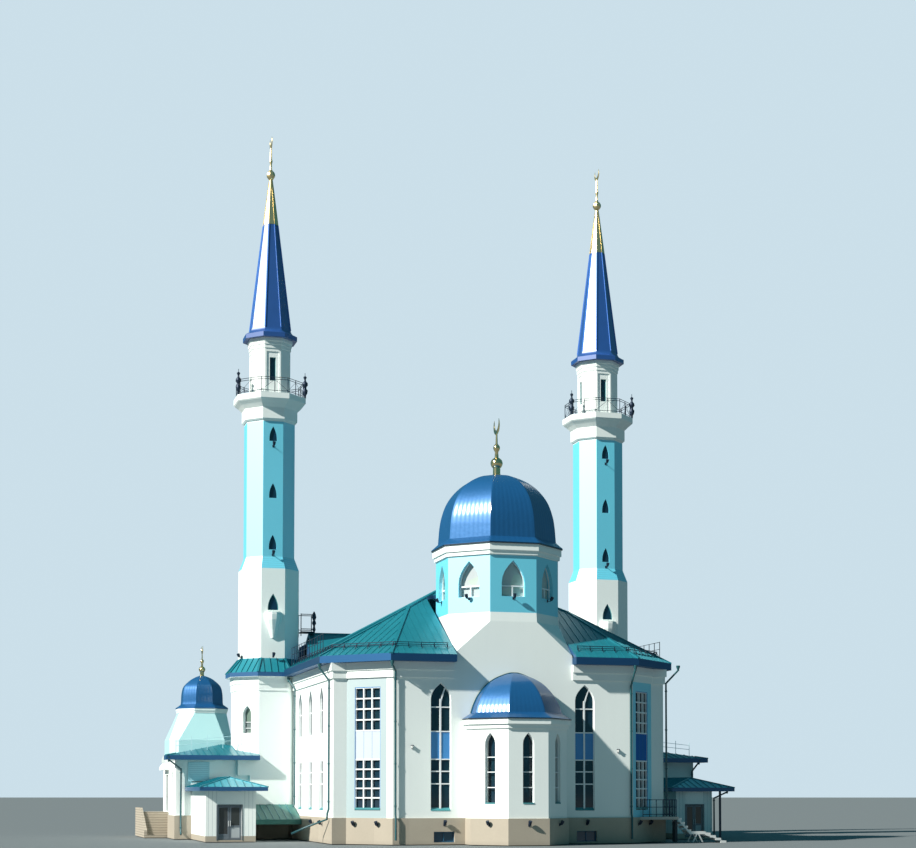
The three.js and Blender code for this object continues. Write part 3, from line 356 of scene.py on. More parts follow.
DOME_EAVES = (7.35, 18.0)
WALL_GLOSS = 0.62  # roughness of the painted walls
BOARD = 0.15  # between the level joints of the cladding
STEP_RISE = 0.17
SKIRT_FROM = 10.78
CORNER_FROM = 7.72  # the cut corners lie beyond this x
PORCH_POST = 16.9  # the right porch's corner post stands beyond this x
PORCH_SOFFIT = 3.14
TOWER_FRONT = 16.5  # the wings' corner towers begin at this y
SPIRE_BLUE = (0.008, 0.07, 0.28)
RAIN_GREY = (0.5, 0.56, 0.56, 1)
JOINT_TEAL = (0.05, 0.25, 0.3, 1)
JOINT_GREY = (0.25, 0.35, 0.38, 1)
EAVE_BAND_BLUE = (0.002, 0.012, 0.03, 1)


def white_cladding(look):
    """Smooth painted wall panels: faint upright rain streaks under a slow mottling."""
    paint = Paint("white_cladding", WALL_GLOSS)
    tone = paint.streaked(look.white)
    paint.bump(paint.noise(14.0, 4.0), 0.25)
    return paint.colour(paint.weathered(tone, 0.025))


def banded_paint(look, name, low, high, crossbands=(), tone=None):
    """White cladding with the turquoise coat between two heights and fine level joints."""
    paint = Paint(name, 0.5, Coat_Roughness=0.52, Coat_IOR=2.75)
    height = paint.split()["Z"]
    coat = paint.between(height, low, high)
    paint.set(paint.shader, "Coat Weight", coat)
    colour = paint.mix(coat, rgba(look.white), rgba(tone or look.turquoise))
    joints = paint.under(paint.repeat(height, BOARD), 0.16)
    for base, top in crossbands:
        joint = paint.times(joints, paint.between(height, base, top))
        colour = paint.mix(paint.times(joint, 0.5), colour, JOINT_TEAL)
    paint.bump(paint.noise(14.0, 4.0), 0.2)
    return paint.colour(paint.weathered(colour, 0.03))


def corner_paint(look):
    """White hall walls with turquoise cut corners, where the normal's x times y is large. The left corner is
    painted in a paler, sunlit copy of the turquoise.
    """
    paint = Paint("hall_wall_paint", WALL_GLOSS, Coat_Roughness=0.52, Coat_IOR=2.75)
    facing = paint.facing()
    slant = paint.math("ABSOLUTE", paint.times(facing["X"], facing["Y"]))
    outside = paint.over(paint.math("ABSOLUTE", paint.split()["X"]), CORNER_FROM)
    coat = paint.times(paint.over(slant, 0.4), outside)
    paint.set(paint.shader, "Coat Weight", coat)
    white = paint.streaked(look.white)
    paint.bump(paint.noise(14.0, 4.0), 0.25)
    # Painted light: the sunlit left corner takes a paler copy of the turquoise, the right corner the
    # turquoise itself.
    tone = paint.mix(paint.over(paint.split()["X"], 0.0), rgba(look.corner), rgba(look.turquoise))
    return paint.colour(paint.weathered(paint.mix(coat, white, tone), 0.025))


def stone_facing(look):
    """Smooth warm render in large slabs with faint joints, growing darker towards the foot."""
    paint = Paint("stone_facing", 0.8)
    spot, facing = paint.split(), paint.facing()
    across = paint.math("SUBTRACT", paint.times(spot["Y"], facing["X"]), paint.times(spot["X"], facing["Y"]))
    wall = paint.node("CombineXYZ", {"X": across, "Y": spot["Z"]})[0]
    inputs = {"Vector": wall, "Color1": rgba(look.stone), "Color2": darker(look.stone, 0.93),
              "Mortar": darker(look.stone, 0.8), "Scale": 1.0, "Mortar Size": 0.006, "Mortar Smooth": 0.5,
              "Brick Width": 2.6, "Row Height": 1.62, "Bias": -0.1}
    slabs = paint.node("TexBrick", inputs)
    # Darker towards the foot of the wall.
    darker_foot = paint.times(paint.between(spot["Z"], -1.0, 0.12, 0.3), 0.35)
    darkened_slabs = paint.mix(darker_foot, slabs["Color"], darker(look.stone, 0.55))
    paint.bump(paint.noise(18.0, 5.0), 0.35, 0.006)
    return paint.colour(paint.weathered(darkened_slabs, 0.07, 0.9))


def weathered_sheet(paint, tone):
    """The finished sheet: its tone under a slow mottling."""
    return paint.colour(paint.weathered(tone, 0.05, 1.4))


def seamed_sheet(name, base, roughness, trim=None):
    """Painted roof sheet: a slow fading of the coat and slight oil-canning, with trim on upright faces."""
    paint = Paint(name, roughness, Metallic=0.25, Coat_Weight=0.25, Coat_Roughness=0.2)
    return weathered_sheet(paint, sheet_tone(paint, base, trim))


def porch_sheet(look):
    """Brighter sheet on the porches, over the white wall of the doorway's head and the dark corner post."""
    paint = Paint("porch_roof_sheet", 0.38, Metallic=0.2, Coat_Weight=0.4, Coat_Roughness=0.25)
    spot = paint.split()
    tone = sheet_tone(paint, [0.03 + 1.6 * c for c in look.roof], look.trim)
    below = paint.mix(paint.over(spot["X"], PORCH_POST), rgba(look.white), rgba(look.iron))
    return weathered_sheet(paint, paint.mix(paint.under(spot["Z"], PORCH_SOFFIT), tone, below))


def wing_sheet(look):
    """Roof sheet on the wings, whose blue fascia gives way to white beside the corner tower."""
    paint = Paint("wing_roof_sheet", 0.38, Metallic=0.25, Coat_Weight=0.25, Coat_Roughness=0.2)
    tone = sheet_tone(paint, look.roof, look.trim)
    beside = paint.times(paint.upright(), paint.over(paint.split()["Y"], TOWER_FRONT))
    return weathered_sheet(paint, paint.mix(beside, tone, rgba(look.white)))


def sheet_tone(paint, base, trim):
    """The sheet's colour: base, fading in slow patches, and trim on upright faces."""
    fade = paint.times(paint.noise(0.5, 3.0), 0.28)
    tone = paint.mix(fade, rgba(base), rgba([min(1.0, 1.7 * c + 0.03) for c in base]))
    paint.bump(paint.noise(1.1, 2.0), 0.35, 0.02)
    return paint.mix(paint.upright(), tone, rgba(trim)) if trim else tone


def foot_paint(look, name, stone_top, sheet_from=None, panel=None):
    """White wall on a rendered foot up to stone_top, with roof sheet over sheet_from for a skirt roof.

    Upright joints stand one panel width apart where that is given.
    """
    paint = Paint(name, WALL_GLOSS)
    spot = paint.split()
    height = spot["Z"]
    white = paint.streaked(look.white)
    if panel:
        along = paint.repeat(paint.math("ADD", spot["X"], spot["Y"]), panel)
        white = paint.mix(paint.times(paint.under(along, 0.12), 0.45), white, JOINT_GREY)
    tone = paint.mix(paint.under(height, stone_top), white, rgba(look.stone))
    if sheet_from:
        over = paint.over(height, sheet_from)
        tone = paint.mix(over, tone, sheet_tone(paint, look.roof, look.trim))
        paint.set(paint.shader, "Roughness", paint.math("MULTIPLY_ADD", over, -0.24, WALL_GLOSS))
    paint.bump(paint.noise(14.0, 4.0), 0.25)
    return paint.colour(paint.weathered(tone, 0.03))


def dome_sheet(look):
    """Glossy blue dome sheet with shallow dents, and a near-black band round the two larger domes' eaves."""
    paint = Paint("dome_sheet", 0.5, Metallic=0.4, Coat_Weight=0.5, Coat_Roughness=0.16, Coat_IOR=2.1)
    paint.bump(paint.noise(3.4, 3.0, (1, 1, 0.9)), 0.45, 0.02)
    tone = rgba(look.dome)
    height = paint.split()["Z"]
    # A near-black band round each of the two eaves.
    for eave in DOME_EAVES:
        tone = paint.mix(paint.between(height, eave - 0.1, eave + 0.07), tone, EAVE_BAND_BLUE)
    return paint.colour(paint.weathered(tone, 0.06, 0.9))


def spire_sheet():
    """Blue sheet under a wide gloss, fading in slow patches."""
    paint = Paint("spire_sheet", 0.35, Metallic=0.2, Coat_Weight=0.5, Coat_Roughness=0.42, Coat_IOR=2.1)
    return weathered_sheet(paint, sheet_tone(paint, SPIRE_BLUE, None))


def plain_coat(name, colour, roughness, grain=12.0, amount=0.06, **sockets):
    """A painted, cast or gilded surface with a little mottling and grain."""
    paint = Paint(name, roughness, **sockets)
    paint.bump(paint.noise(grain, 3.0), 0.15)
    return paint.colour(paint.weathered(rgba(colour), amount, 1.0))


def step_stone(look):
    """Rendered steps with a painted shadow line under each nosing."""
    paint = Paint("step_stone", 0.85)
    riser = paint.repeat(paint.split()["Z"], STEP_RISE)
    # Painted shade: the top of each rise is darkened as the shadow under its nosing.
    line = paint.times(paint.over(riser, 0.72), 0.55)
    tone = paint.mix(line, rgba(look.stone), darker(look.stone, 0.3))
    paint.bump(paint.noise(18.0, 5.0), 0.35, 0.006)
    return paint.colour(paint.weathered(tone, 0.07, 0.9))


def shade_below(name, colour, low, height):
    """A mottled coat that gives way to a dark one under a height: painted shade, as under a deck."""
    paint = Paint(name, 0.8)
    under = paint.under(paint.split()["Z"], height)
    paint.bump(paint.noise(8.0, 3.0), 0.2)
    return paint.colour(paint.weathered(paint.mix(under, rgba(colour), rgba(low)), 0.1, 1.0))


def dark_glass(name, colour, tint=0.3, gloss=0.03):
    """Window glass seen from outside: a dark room behind a glossy, slightly uneven pane."""
    paint = Paint(name, 0.06, IOR=1.5, Coat_Weight=0.4, Coat_Roughness=gloss)
    patch = paint.node("TexVoronoi", {"Vector": paint.place((1, 1, 0.8)), "Scale": 0.9})["Color"]
    dark = paint.tinted(paint.mix(tint, rgba(colour), patch), rgba(colour))
    paint.bump(paint.noise(0.8, 1.0), 0.05, 0.01)
    return paint.colour(paint.mix(0.6, dark, rgba(colour)))


def colour_property(name, description, default):
    """A colour setting in linear light."""
    return FloatVectorProperty(name=name, description=description, default=default, size=3,
                               subtype="COLOR", min=0, max=1)


def length_property(name, description, default):
    """A length setting in real metres."""
    return FloatProperty(name=name, description=description, default=default, min=0.005, unit="LENGTH")


class MosqueSizes(bpy.types.PropertyGroup):
    """Sizes of the trim, in real metres."""
    window_bar: length_property("Window bar", "Width of the tall windows' crossbars", 0.07)
    mullion: length_property("Mullion", "Width of the tall windows' upright bar", 0.1)
    seam_spacing: length_property("Seam spacing", "Between two standing seams of the main roof", 0.46)
    guard_run: length_property("Snow guards", "From the eaves in to the snow guards", 0.85)
    pipe: length_property("Downpipes", "Radius of the downpipes", 0.062)
    rail: length_property("Rails", "Radius of the level rods of the balconies and the platform", 0.02)


class MosqueColours(bpy.types.PropertyGroup):
    """Colours of the finishes, in linear light."""
    white: colour_property("White walls", "Painted wall panels", (0.86, 0.92, 0.9))
    turquoise: colour_property("Turquoise walls", "Painted right corner, drum and shafts", (0.1, 0.64, 0.84))
    # The left corner colour is a paler copy of the turquoise: painted sunlight on that corner.
    corner: colour_property("Left corner", "Pale turquoise of the left cut corner", (0.2, 0.32, 0.345))
    stone: colour_property("Stone", "Stone facing of the plinth", (0.4, 0.355, 0.285))
    roof: colour_property("Roof sheet", "Teal standing seam sheet", (0.009, 0.185, 0.235))
    dome: colour_property("Dome sheet", "Blue sheet of the domes", (0.006, 0.1, 0.28))
    trim: colour_property("Trim", "Blue fascias and gutters", (0.026, 0.105, 0.24))
    gilt: colour_property("Gilding", "Balls and crescents", (0.85, 0.68, 0.36))
    iron: colour_property("Iron", "Railings and brackets", (0.015, 0.03, 0.06))


def mix_paints(look):
    """Every finish of the model, by name."""
    PAINTS.update({
        "white": white_cladding(look),
        "hall": corner_paint(look),
        "shaft": banded_paint(look, "shaft_paint", 18.1, 28.12, ((18.1, 19.0),)),
        "drum": banded_paint(look, "drum_paint", 13.8, 17.3),
        "tower": banded_paint(look, "tower_paint", 5.2, 8.68, (), (0.45, 0.78, 0.8)),
        "stone": stone_facing(look),
        "roof": seamed_sheet("roof_sheet", look.roof, 0.38, look.trim),
        "porch_roof": porch_sheet(look),
        "wing_roof": wing_sheet(look),
        "seam": seamed_sheet("roof_seams", look.roof, 0.36),
        "wing_wall": foot_paint(look, "wing_wall_paint", PLINTH_TOP),
        "porch_wall": foot_paint(look, "porch_wall_paint", 0.35, panel=0.25),
        "steps": step_stone(look),
        # Painted shade: the platform's columns go near black under the deck, where its shade falls.
        "platform": shade_below("platform_concrete", (0.42, 0.41, 0.38), (0.03, 0.04, 0.05), 1.39),
        "minaret_foot": foot_paint(look, "minaret_foot_paint", PLINTH_TOP, SKIRT_FROM),
        "dome": dome_sheet(look),
        "spire": spire_sheet(),
        "trim": plain_coat("trim_coat", look.trim, 0.5, Metallic=0.85),
        # The battens' lighter blue is a painted highlight along the spires' ridges.
        "batten": plain_coat("batten_highlight_coat", (0.056, 0.2, 0.616), 0.3, Coat_Weight=0.4),
        "gilt": plain_coat("gilding", look.gilt, 0.22, amount=0.1, Metallic=1.0),
        "tip_gilt": plain_coat("tip_gilding", look.gilt, 0.4, amount=0.1, Metallic=1.0),
        "iron": plain_coat("iron_coat", look.iron, 0.45, Metallic=0.4),
        "glass": dark_glass("window_glass", (0.012, 0.04, 0.065)),
        "blue_glass": dark_glass("blue_glass", (0.01, 0.05, 0.09)),
        # The drum's panes are painted pale grey-green: a painted reflection in the glass.
        "drum_glass": dark_glass("drum_glass", (0.55, 0.62, 0.6), 0.2, 0.3),
        "foot_glass": dark_glass("foot_glass", (0.2, 0.26, 0.24)),
        "basement_glass": dark_glass("basement_glass", (0.02, 0.09, 0.16)),
        "door_glass": dark_glass("door_glass", (0.05, 0.06, 0.06)),
        "door_panel": plain_coat("door_panel", (0.4, 0.44, 0.46), 0.4),
        "basement": plain_coat("basement_frame", (0.03, 0.12, 0.22), 0.4),
        "sill": plain_coat("sill_coat", (0.05, 0.25, 0.28), 0.5),
        "louvre": plain_coat("louvre_coat", (0.5, 0.74, 0.8), 0.5),
        "louvre_back": plain_coat("louvre_backing", (0.34, 0.56, 0.64), 0.6),
        "lean": seamed_sheet("lean_to_sheet", (0.035, 0.16, 0.14), 0.6),
        "frame": plain_coat("window_frame", (0.78, 0.82, 0.84), 0.4),
        "spandrel": plain_coat("blue_spandrel", (0.06, 0.25, 0.56), 0.4),
        # Painted light and shade: a deep shaded copy of the spandrel blue for the right corner panel, and a
        # pale sunlit copy for the left corner panel and the side and back windows.
        "shaded_spandrel": plain_coat("shaded_spandrel", (0.004, 0.12, 0.42), 0.95),
        "sunlit_spandrel": plain_coat("sunlit_spandrel", (0.5, 0.56, 0.68), 0.4),
        "door": plain_coat("door_frame", (0.16, 0.19, 0.22), 0.4, Metallic=0.3),
        "concrete": plain_coat("cast_concrete", (0.42, 0.41, 0.38), 0.85, 8.0, 0.14),
        "pipe": plain_coat("pipe_coat", (0.012, 0.085, 0.1), 0.4, Coat_Weight=0.3),
        "lamp": plain_coat("lamp_lens", (0.7, 0.72, 0.7), 0.2, Coat_Weight=0.5),
        "steel": plain_coat("white_steel", (0.75, 0.77, 0.76), 0.35, Metallic=0.2),
    })


NODE_PAINTS = (
    ("minaret_shaft", "shaft"), ("minaret_spire", "spire"), ("minaret_railing", "iron"),
    ("minaret_base", "minaret_foot"), ("minaret_", "white"), ("porch_wall", "porch_wall"),
    ("wing_walls", "wing_wall"), ("porch_roof", "porch_roof"), ("wing_door_hood", "white"),
    ("wing_side_door", "door"), ("door_", "door"), ("wing_dome", "dome"), ("wing_roof", "wing_roof"),
    ("wing_tower", "tower"), ("wing_steps", "steps"), ("wing_", "white"), ("niche_dome", "dome"),
    ("dome_finial", "gilt"), ("dome", "dome"),
    ("drum_glass", "drum_glass"), ("drum", "drum"), ("niche_glass", "glass"), ("front_window", "glass"),
    ("corner_window", "glass"), ("wall_", "hall"), ("plinth", "stone"), ("eaves", "trim"),
    ("main_roof", "roof"), ("entrance_roof", "roof"), ("lean_to", "lean"), ("platform_railing", "iron"),
    ("corner_platform", "platform"), ("steel_stair", "steel"), ("floor", "concrete"), ("", "white"),
)


class MOSQUE_OT_finish_solids(bpy.types.Operator):
    """Give every solid of the model its finish"""
    bl_idname = "mosque.finish_solids"
    bl_label = "Finish the solids"

    def execute(self, context):
        mix_paints(context.scene.mosque_colours)
        for name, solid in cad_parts.items():
            paint = next(p for key, p in NODE_PAINTS if name.startswith(key) or (key and key in name))
            solid.data.materials.clear()
            solid.data.materials.append(PAINTS[paint])
        return {"FINISHED"}


# Windows

def upright(points, y):
    """Points (x, z) as (x, y, z) in an upright plane that faces the front."""
    points = np.asarray(points, float)
    return np.stack([points[:, 0], np.full(len(points), y), points[:, 1]], 1)


def arch_line(half, sill, spring, tip, steps=8):
    """Pointed arch from the lower left, clockwise seen from the front: two straight sides and two curves.

    A side's curve is (1-t)^2 (half, spring) + 2t(1-t) (half, middle) + t^2 (0, tip), middle halfway up.
    """
    t = np.linspace(0, 1, steps)[:, None]
    middle = (spring + tip) / 2
    rise = (1 - t) ** 2 * [half, spring] + 2 * t * (1 - t) * [half, middle] + t ** 2 * [0, tip]
    left = rise * [-1, 1]
    return np.concatenate([[[-half, sill]], left, rise[::-1][1:], [[half, sill]]])


def frame_along(line, y, width, depth, closed=True):
    """A bar carried along an outline of (x, z) points in the plane y, inside the outline."""
    return carried(rectangle(-width, 0, 0, depth), upright(line, y), (0, -1, 0), closed)


def pane(line, y, thick=0.02):
    """A flat sheet with this outline of (x, z) points, from y to y + thick."""
    front, back = upright(line, y), upright(line, y + thick)
    n = len(line)
    edge = grid_faces(2, n, False, True)
    return np.concatenate([front, back]), [*[f[::-1] for f in edge], np.arange(n)[::-1], np.arange(n) + n]


def spans_across(levels, half, y0, y1, width):
    """Level bars between the two sides of a window at each height."""
    return boxes([[-half, half, y0, y1, z - width / 2, z + width / 2] for z in levels])


TALL = {"half": 0.62, "sill": 2.0, "spring": 8.6, "tip": 9.57}
TALL_BARS = (8.11, 6.67, 5.02, 4.31, 3.57)
TALL_DEPTH = 0.18
SPANDREL = (5.02, 6.67)
NICHE = {"half": 0.34, "sill": 2.4, "spring": 5.9, "tip": 6.55}
NICHE_BARS = (5.12, 4.25, 3.35)
DRUM = {"half": 0.73, "sill": 14.82, "spring": 15.65, "tip": 17.0}
FOOT = {"half": 0.34, "sill": 7.0, "spring": 8.3, "tip": 8.85}
FOOT_BARS = (7.75, 7.35)
NICHE_DEPTH, DRUM_DEPTH, FOOT_DEPTH = 0.2, 0.28, 0.25
DRUM_BAR = (15.43, 15.51)
PANE_INSET = 0.999
PANE_LIFT = [0, 0.003]


def arched_bars(window, levels, y, bar, mullion, rim=0.045):
    """White frame of a pointed window: edge bar, mullion, crossbars, and a curved bar in the head."""
    half, sill, spring, tip = window.values()
    edge = frame_along(arch_line(**window), y, rim, 0.07)
    stem = boxes([[-mullion / 2, mullion / 2, y - 0.07, y, sill, spring]])
    t = np.linspace(0, 1, 9)[:, None]
    top = [0.45 * half, (spring + 2 * tip) / 3]
    bow = (1 - t) ** 2 * [0, levels[0]] + 2 * t * (1 - t) * [0.02, spring] + t ** 2 * top
    curve = carried(rectangle(-bar / 2, bar / 2, 0, 0.06), upright(bow, y), (0, -1, 0))
    return joined(edge, stem, curve, spans_across(levels, half - bar / 2, y - 0.065, y, bar))


def tall_window(sizes):
    """The parts of a tall window at its own place: white bars, blue spandrel panes, and sloping sill."""
    y, half = TALL_DEPTH, TALL["half"] - 0.03
    low, high = SPANDREL
    blue = boxes([[-half, -0.03, y - 0.03, y, low, high], [0.03, half, y - 0.03, y, low, high]])
    sill = joined(([[-half, -0.02, 2.0], [half, -0.02, 2.0], [half, y, 2.16], [-half, y, 2.16],
                    [-half, -0.02, 1.98], [half, -0.02, 1.98], [half, y, 1.98], [-half, y, 1.98]],
                   RIB_FACES))
    return arched_bars(TALL, TALL_BARS, y, sizes.window_bar, sizes.mullion), blue, sill


def tall_places():
    """Where tall windows stand, as shift, turn and glazing: front wall, side walls and back wall."""
    front = [((x, 0, 0), 0, False) for x in (-4.5, 4.5)]
    sides = [((s * HALL_HALF, y, 0), s * 90, True) for _, s in LEFT_RIGHT for y in (6.1, 9.8, 13.45)]
    back = [((x, BACK_WALL, 0), 180, True) for x in (-6.8, -3.4, 0, 3.4, 6.8)]
    return front + sides + back


class MOSQUE_OT_tall_windows(bpy.types.Operator):
    """Set bars, blue panes, sills and glass into the tall pointed windows"""
    bl_idname = "mosque.tall_windows"
    bl_label = "Tall windows"

    def execute(self, context):
        bars, blue, sill = tall_window(context.scene.mosque_sizes)
        glass = pane(arch_line(**TALL) * PANE_INSET + PANE_LIFT, TALL_DEPTH + 0.01, 0.04)
        paints = {"bars": "frame", "panes": "spandrel", "side_panes": "sunlit_spandrel", "sills": "sill",
                  "glass": "glass"}
        groups = {key: [] for key in paints}
        for shift, turn, glazed in tall_places():
            parts = {"bars": bars, "side_panes" if glazed else "panes": blue, "sills": sill}
            if glazed:
                parts["glass"] = glass
            for key, part in parts.items():
                groups[key].append(moved(part, shift, turn))
        for key, paint in paints.items():
            make(f"tall_window_{key}", joined(*groups[key]), paint)
        return {"FINISHED"}


CORNER_MIDDLE = 1.78
CORNER_HALF = 0.9
CORNER_COLUMNS = (-0.29, 0.29)
CORNER_HEAD = 9.26
CORNER_UPPER = (9.27, 8.62, 8.0, 7.36, 6.72)
CORNER_LOWER = (5.0, 4.43, 3.86, 3.3, 2.74, 2.16)


def corner_grid():
    """Bars of a corner window about its middle: three columns, four rows over a panel, five under it."""
    bar, y0, y1 = 0.04, 0.02, 0.16
    posts = [[x - bar, x + bar, y0, y1, low, high] for x in CORNER_COLUMNS
             for low, high in ((CORNER_UPPER[-1], CORNER_UPPER[0]), (CORNER_LOWER[-1], CORNER_LOWER[0]))]
    half = CORNER_HALF
    rails = [[-half, half, y0 + 0.01, y1, z - bar, z + bar] for z in CORNER_UPPER[1:] + CORNER_LOWER[:-1]]
    rim = [[x, x + 0.03, y0 + 0.02, y1, CORNER_LOWER[-1], CORNER_UPPER[0]] for x in (-0.87, 0.84)]
    ends = [[-half, half, y0, y1, CORNER_HEAD - 0.04, CORNER_HEAD]]
    return boxes(posts + rails + rim + ends)


class MOSQUE_OT_corner_windows(bpy.types.Operator):
    """Set the bars and panels into the two corner windows"""
    bl_idname = "mosque.corner_windows"
    bl_label = "Corner windows"

    def execute(self, context):
        half, inner, head = CORNER_HALF, CORNER_HALF - 0.03, CORNER_HEAD
        panel = boxes([[-0.86, 0.86, 0.05, 0.17, CORNER_LOWER[0], CORNER_UPPER[-1]]])
        liners = boxes([[-half, -inner, 0.005, 0.16, 2.1, head], [inner, half, 0.005, 0.16, 2.1, head],
                        [-inner, inner, 0.005, 0.16, head, head + 0.04]])
        sill = boxes([[-0.88, 0.88, -0.02, 0.16, 2.04, 2.16]])
        seams = boxes([[x - 0.007, x + 0.007, 0.045, 0.06, 5.05, 6.67] for x in CORNER_COLUMNS])
        along = CORNER_MIDDLE * math.sqrt(0.5)
        for side, sign in LEFT_RIGHT:
            # Painted light: the left corner panel takes the pale sunlit copy of the blue, the right one the
            # deep shaded copy.
            blue = "sunlit_spandrel" if side == "left" else "shaded_spandrel"
            for part, shape, paint in (("bars", corner_grid(), "frame"), ("panel", panel, blue),
                                       ("liners", liners, "spandrel"), ("sill", sill, "sill"),
                                       ("joints", seams, "sill")):
                placed = moved(shape, (FRONT_HALF + along, along, 0), 45, mirror=sign < 0)
                make(f"corner_window_{part}_{side}", placed, paint)
        return {"FINISHED"}


class MOSQUE_OT_niche_windows(bpy.types.Operator):
    """Set the bars into the windows of the niche, the drum, and the minaret feet"""
    bl_idname = "mosque.niche_windows"
    bl_label = "Niche and drum windows"

    def execute(self, context):
        niche_turns, reach = (-45, 0, 45), (0, -NICHE_R * FLAT, 0)
        y = NICHE_DEPTH
        narrow = joined(frame_along(arch_line(**NICHE), y, 0.04, 0.06),
                        spans_across(NICHE_BARS, 0.32, y - 0.06, y, 0.05))
        make("niche_window_bars", joined(*ringed(narrow, reach, niche_turns)), "frame")
        lip = boxes([[-0.33, 0.33, -0.03, y, NICHE["sill"], NICHE["sill"] + 0.07]])
        make("niche_window_sills", joined(*ringed(lip, reach, niche_turns)), "sill")
        half, sill, y = DRUM["half"], DRUM["sill"], DRUM_DEPTH
        bars = joined(frame_along(arch_line(**DRUM), y, 0.04, 0.07),
                      boxes([[-half, half, y - 0.08, y, *DRUM_BAR],
                             [-0.04, 0.04, y - 0.08, y, sill, DRUM_BAR[0] + 0.02]]))
        reach = (DRUM_CENTRE[0], DRUM_CENTRE[1] - DRUM_R * FLAT, 0)
        make("drum_window_bars", joined(*ringed(bars, reach, range(0, 360, 45), DRUM_CENTRE)), "frame")
        line, y = arch_line(**FOOT), FOOT_DEPTH
        bars = joined(frame_along(line, y, 0.035, 0.06), spans_across(FOOT_BARS, 0.33, y - 0.06, y, 0.035))
        glass = pane(line * PANE_INSET + PANE_LIFT, y + 0.02, 0.04)
        for side, sign in LEFT_RIGHT:
            for part, shape, paint in (("bars", bars, "frame"), ("glass", glass, "foot_glass")):
                placed = moved(moved(shape, (0, -FOOT_R * FLAT, 0)), minaret_place(sign), 45 * sign)
                make(f"foot_window_{part}_{side}", placed, paint)
        return {"FINISHED"}


# Roofs

SHORTEST_SEAM = 0.15
UP = np.array([0, 0, 1.0])


def slope_lines(polygon, spacing):
    """Where upright planes, spacing apart and running down the slope, cross a flat convex polygon.

    Level runs along e = normal x up; each line keeps p.e fixed, and meets the polygon's edges where the
    straight blend of the two corners' p.e equals it. Returns starts, ends and the normal.
    """
    corners = np.asarray(polygon, float)
    normal = np.cross(corners[1] - corners[0], corners[2] - corners[1])
    normal *= np.sign(normal[2]) / np.linalg.norm(normal)
    level = np.cross(normal, UP)
    level /= np.linalg.norm(level)
    spot = corners @ level
    first, last = spot.min(), spot.max()
    count = max(2, int(round((last - first) / spacing)) + 1)
    starts, ends = [], []
    for value in np.linspace(first, last, count)[1:-1]:
        hits = []
        for k, corner in enumerate(corners):
            following = (k + 1) % len(corners)
            a, b = spot[k], spot[following]
            if (a - value) * (b - value) <= 0 and a != b:
                hits.append(corner + (corners[following] - corner) * (value - a) / (b - a))
        if len(hits) >= 2:
            low, high = min(hits, key=lambda p: p[2]), max(hits, key=lambda p: p[2])
            if np.linalg.norm(high - low) > SHORTEST_SEAM:
                starts.append(low)
                ends.append(high)
    return np.array(starts), np.array(ends), normal


def seams(polygon, spacing, width=0.024, height=0.026):
    """Standing seams down one roof slope."""
    starts, ends, normal = slope_lines(polygon, spacing)
    return strips(starts, ends, [normal], width, height, 0.01)


def caps(edges, width=0.2, height=0.05, sink=0.05):
    """Folded caps along hips and ridges, standing on the upward side."""
    edges = np.asarray(edges, float)
    return strips(edges[:, 0], edges[:, 1], [UP], width, height, sink)


def main_roof_slopes():
    """The main roof's corner points on one side: two at the eaves, the hips' junction, the ridge's end."""
    bevel = EAVE_OUT * math.tan(math.pi / 8)
    side = HALL_HALF + EAVE_OUT
    cut = side - FRONT_HALF - bevel
    run = cut * (1 + math.sqrt(0.5))
    ridge_run = (HALL_BACK + EAVE_OUT) / 2
    a = (FRONT_HALF + bevel, -EAVE_OUT, FASCIA_TOP)
    b = (side, cut - EAVE_OUT, FASCIA_TOP)
    top = (side - run, run - EAVE_OUT, FASCIA_TOP + ROOF_SLOPE * run)
    ridge = (side - ridge_run, ridge_run - EAVE_OUT, FASCIA_TOP + ROOF_SLOPE * ridge_run)
    return a, b, top, ridge


def mirrored_points(points):
    """Points with -x for x, in reverse order, so that a face keeps its outside."""
    return [(-x, y, z) for x, y, z in points][::-1]


def on_main(x, y, run):
    """The point of the main roof over (x, y) on a slope that has risen for this run."""
    return (x, y, FASCIA_TOP + ROOF_SLOPE * run)


def guard_rails(low_edge, slope_in, posts, run):
    """A snow guard: two level pipes parallel to the eaves, run in from them, on small brackets."""
    a, b = np.asarray(low_edge, float)
    inward = np.asarray(slope_in, float)
    foot = run * inward + [0, 0, run * ROOF_SLOPE]
    pipes = [strips([a + foot + UP * h], [b + foot + UP * h], [UP], 0.04, 0.04) for h in (0.12, 0.24)]
    t = np.linspace(0.02, 0.98, posts)[:, None]
    feet = a + (b - a) * t + foot
    legs = strips(feet, feet + UP * 0.29, [inward], 0.035, 0.035)
    stays = strips(feet - 0.22 * inward - [0, 0, 0.22 * ROOF_SLOPE], feet + UP * 0.24, [inward], 0.03, 0.03)
    return joined(*pipes, legs, stays)


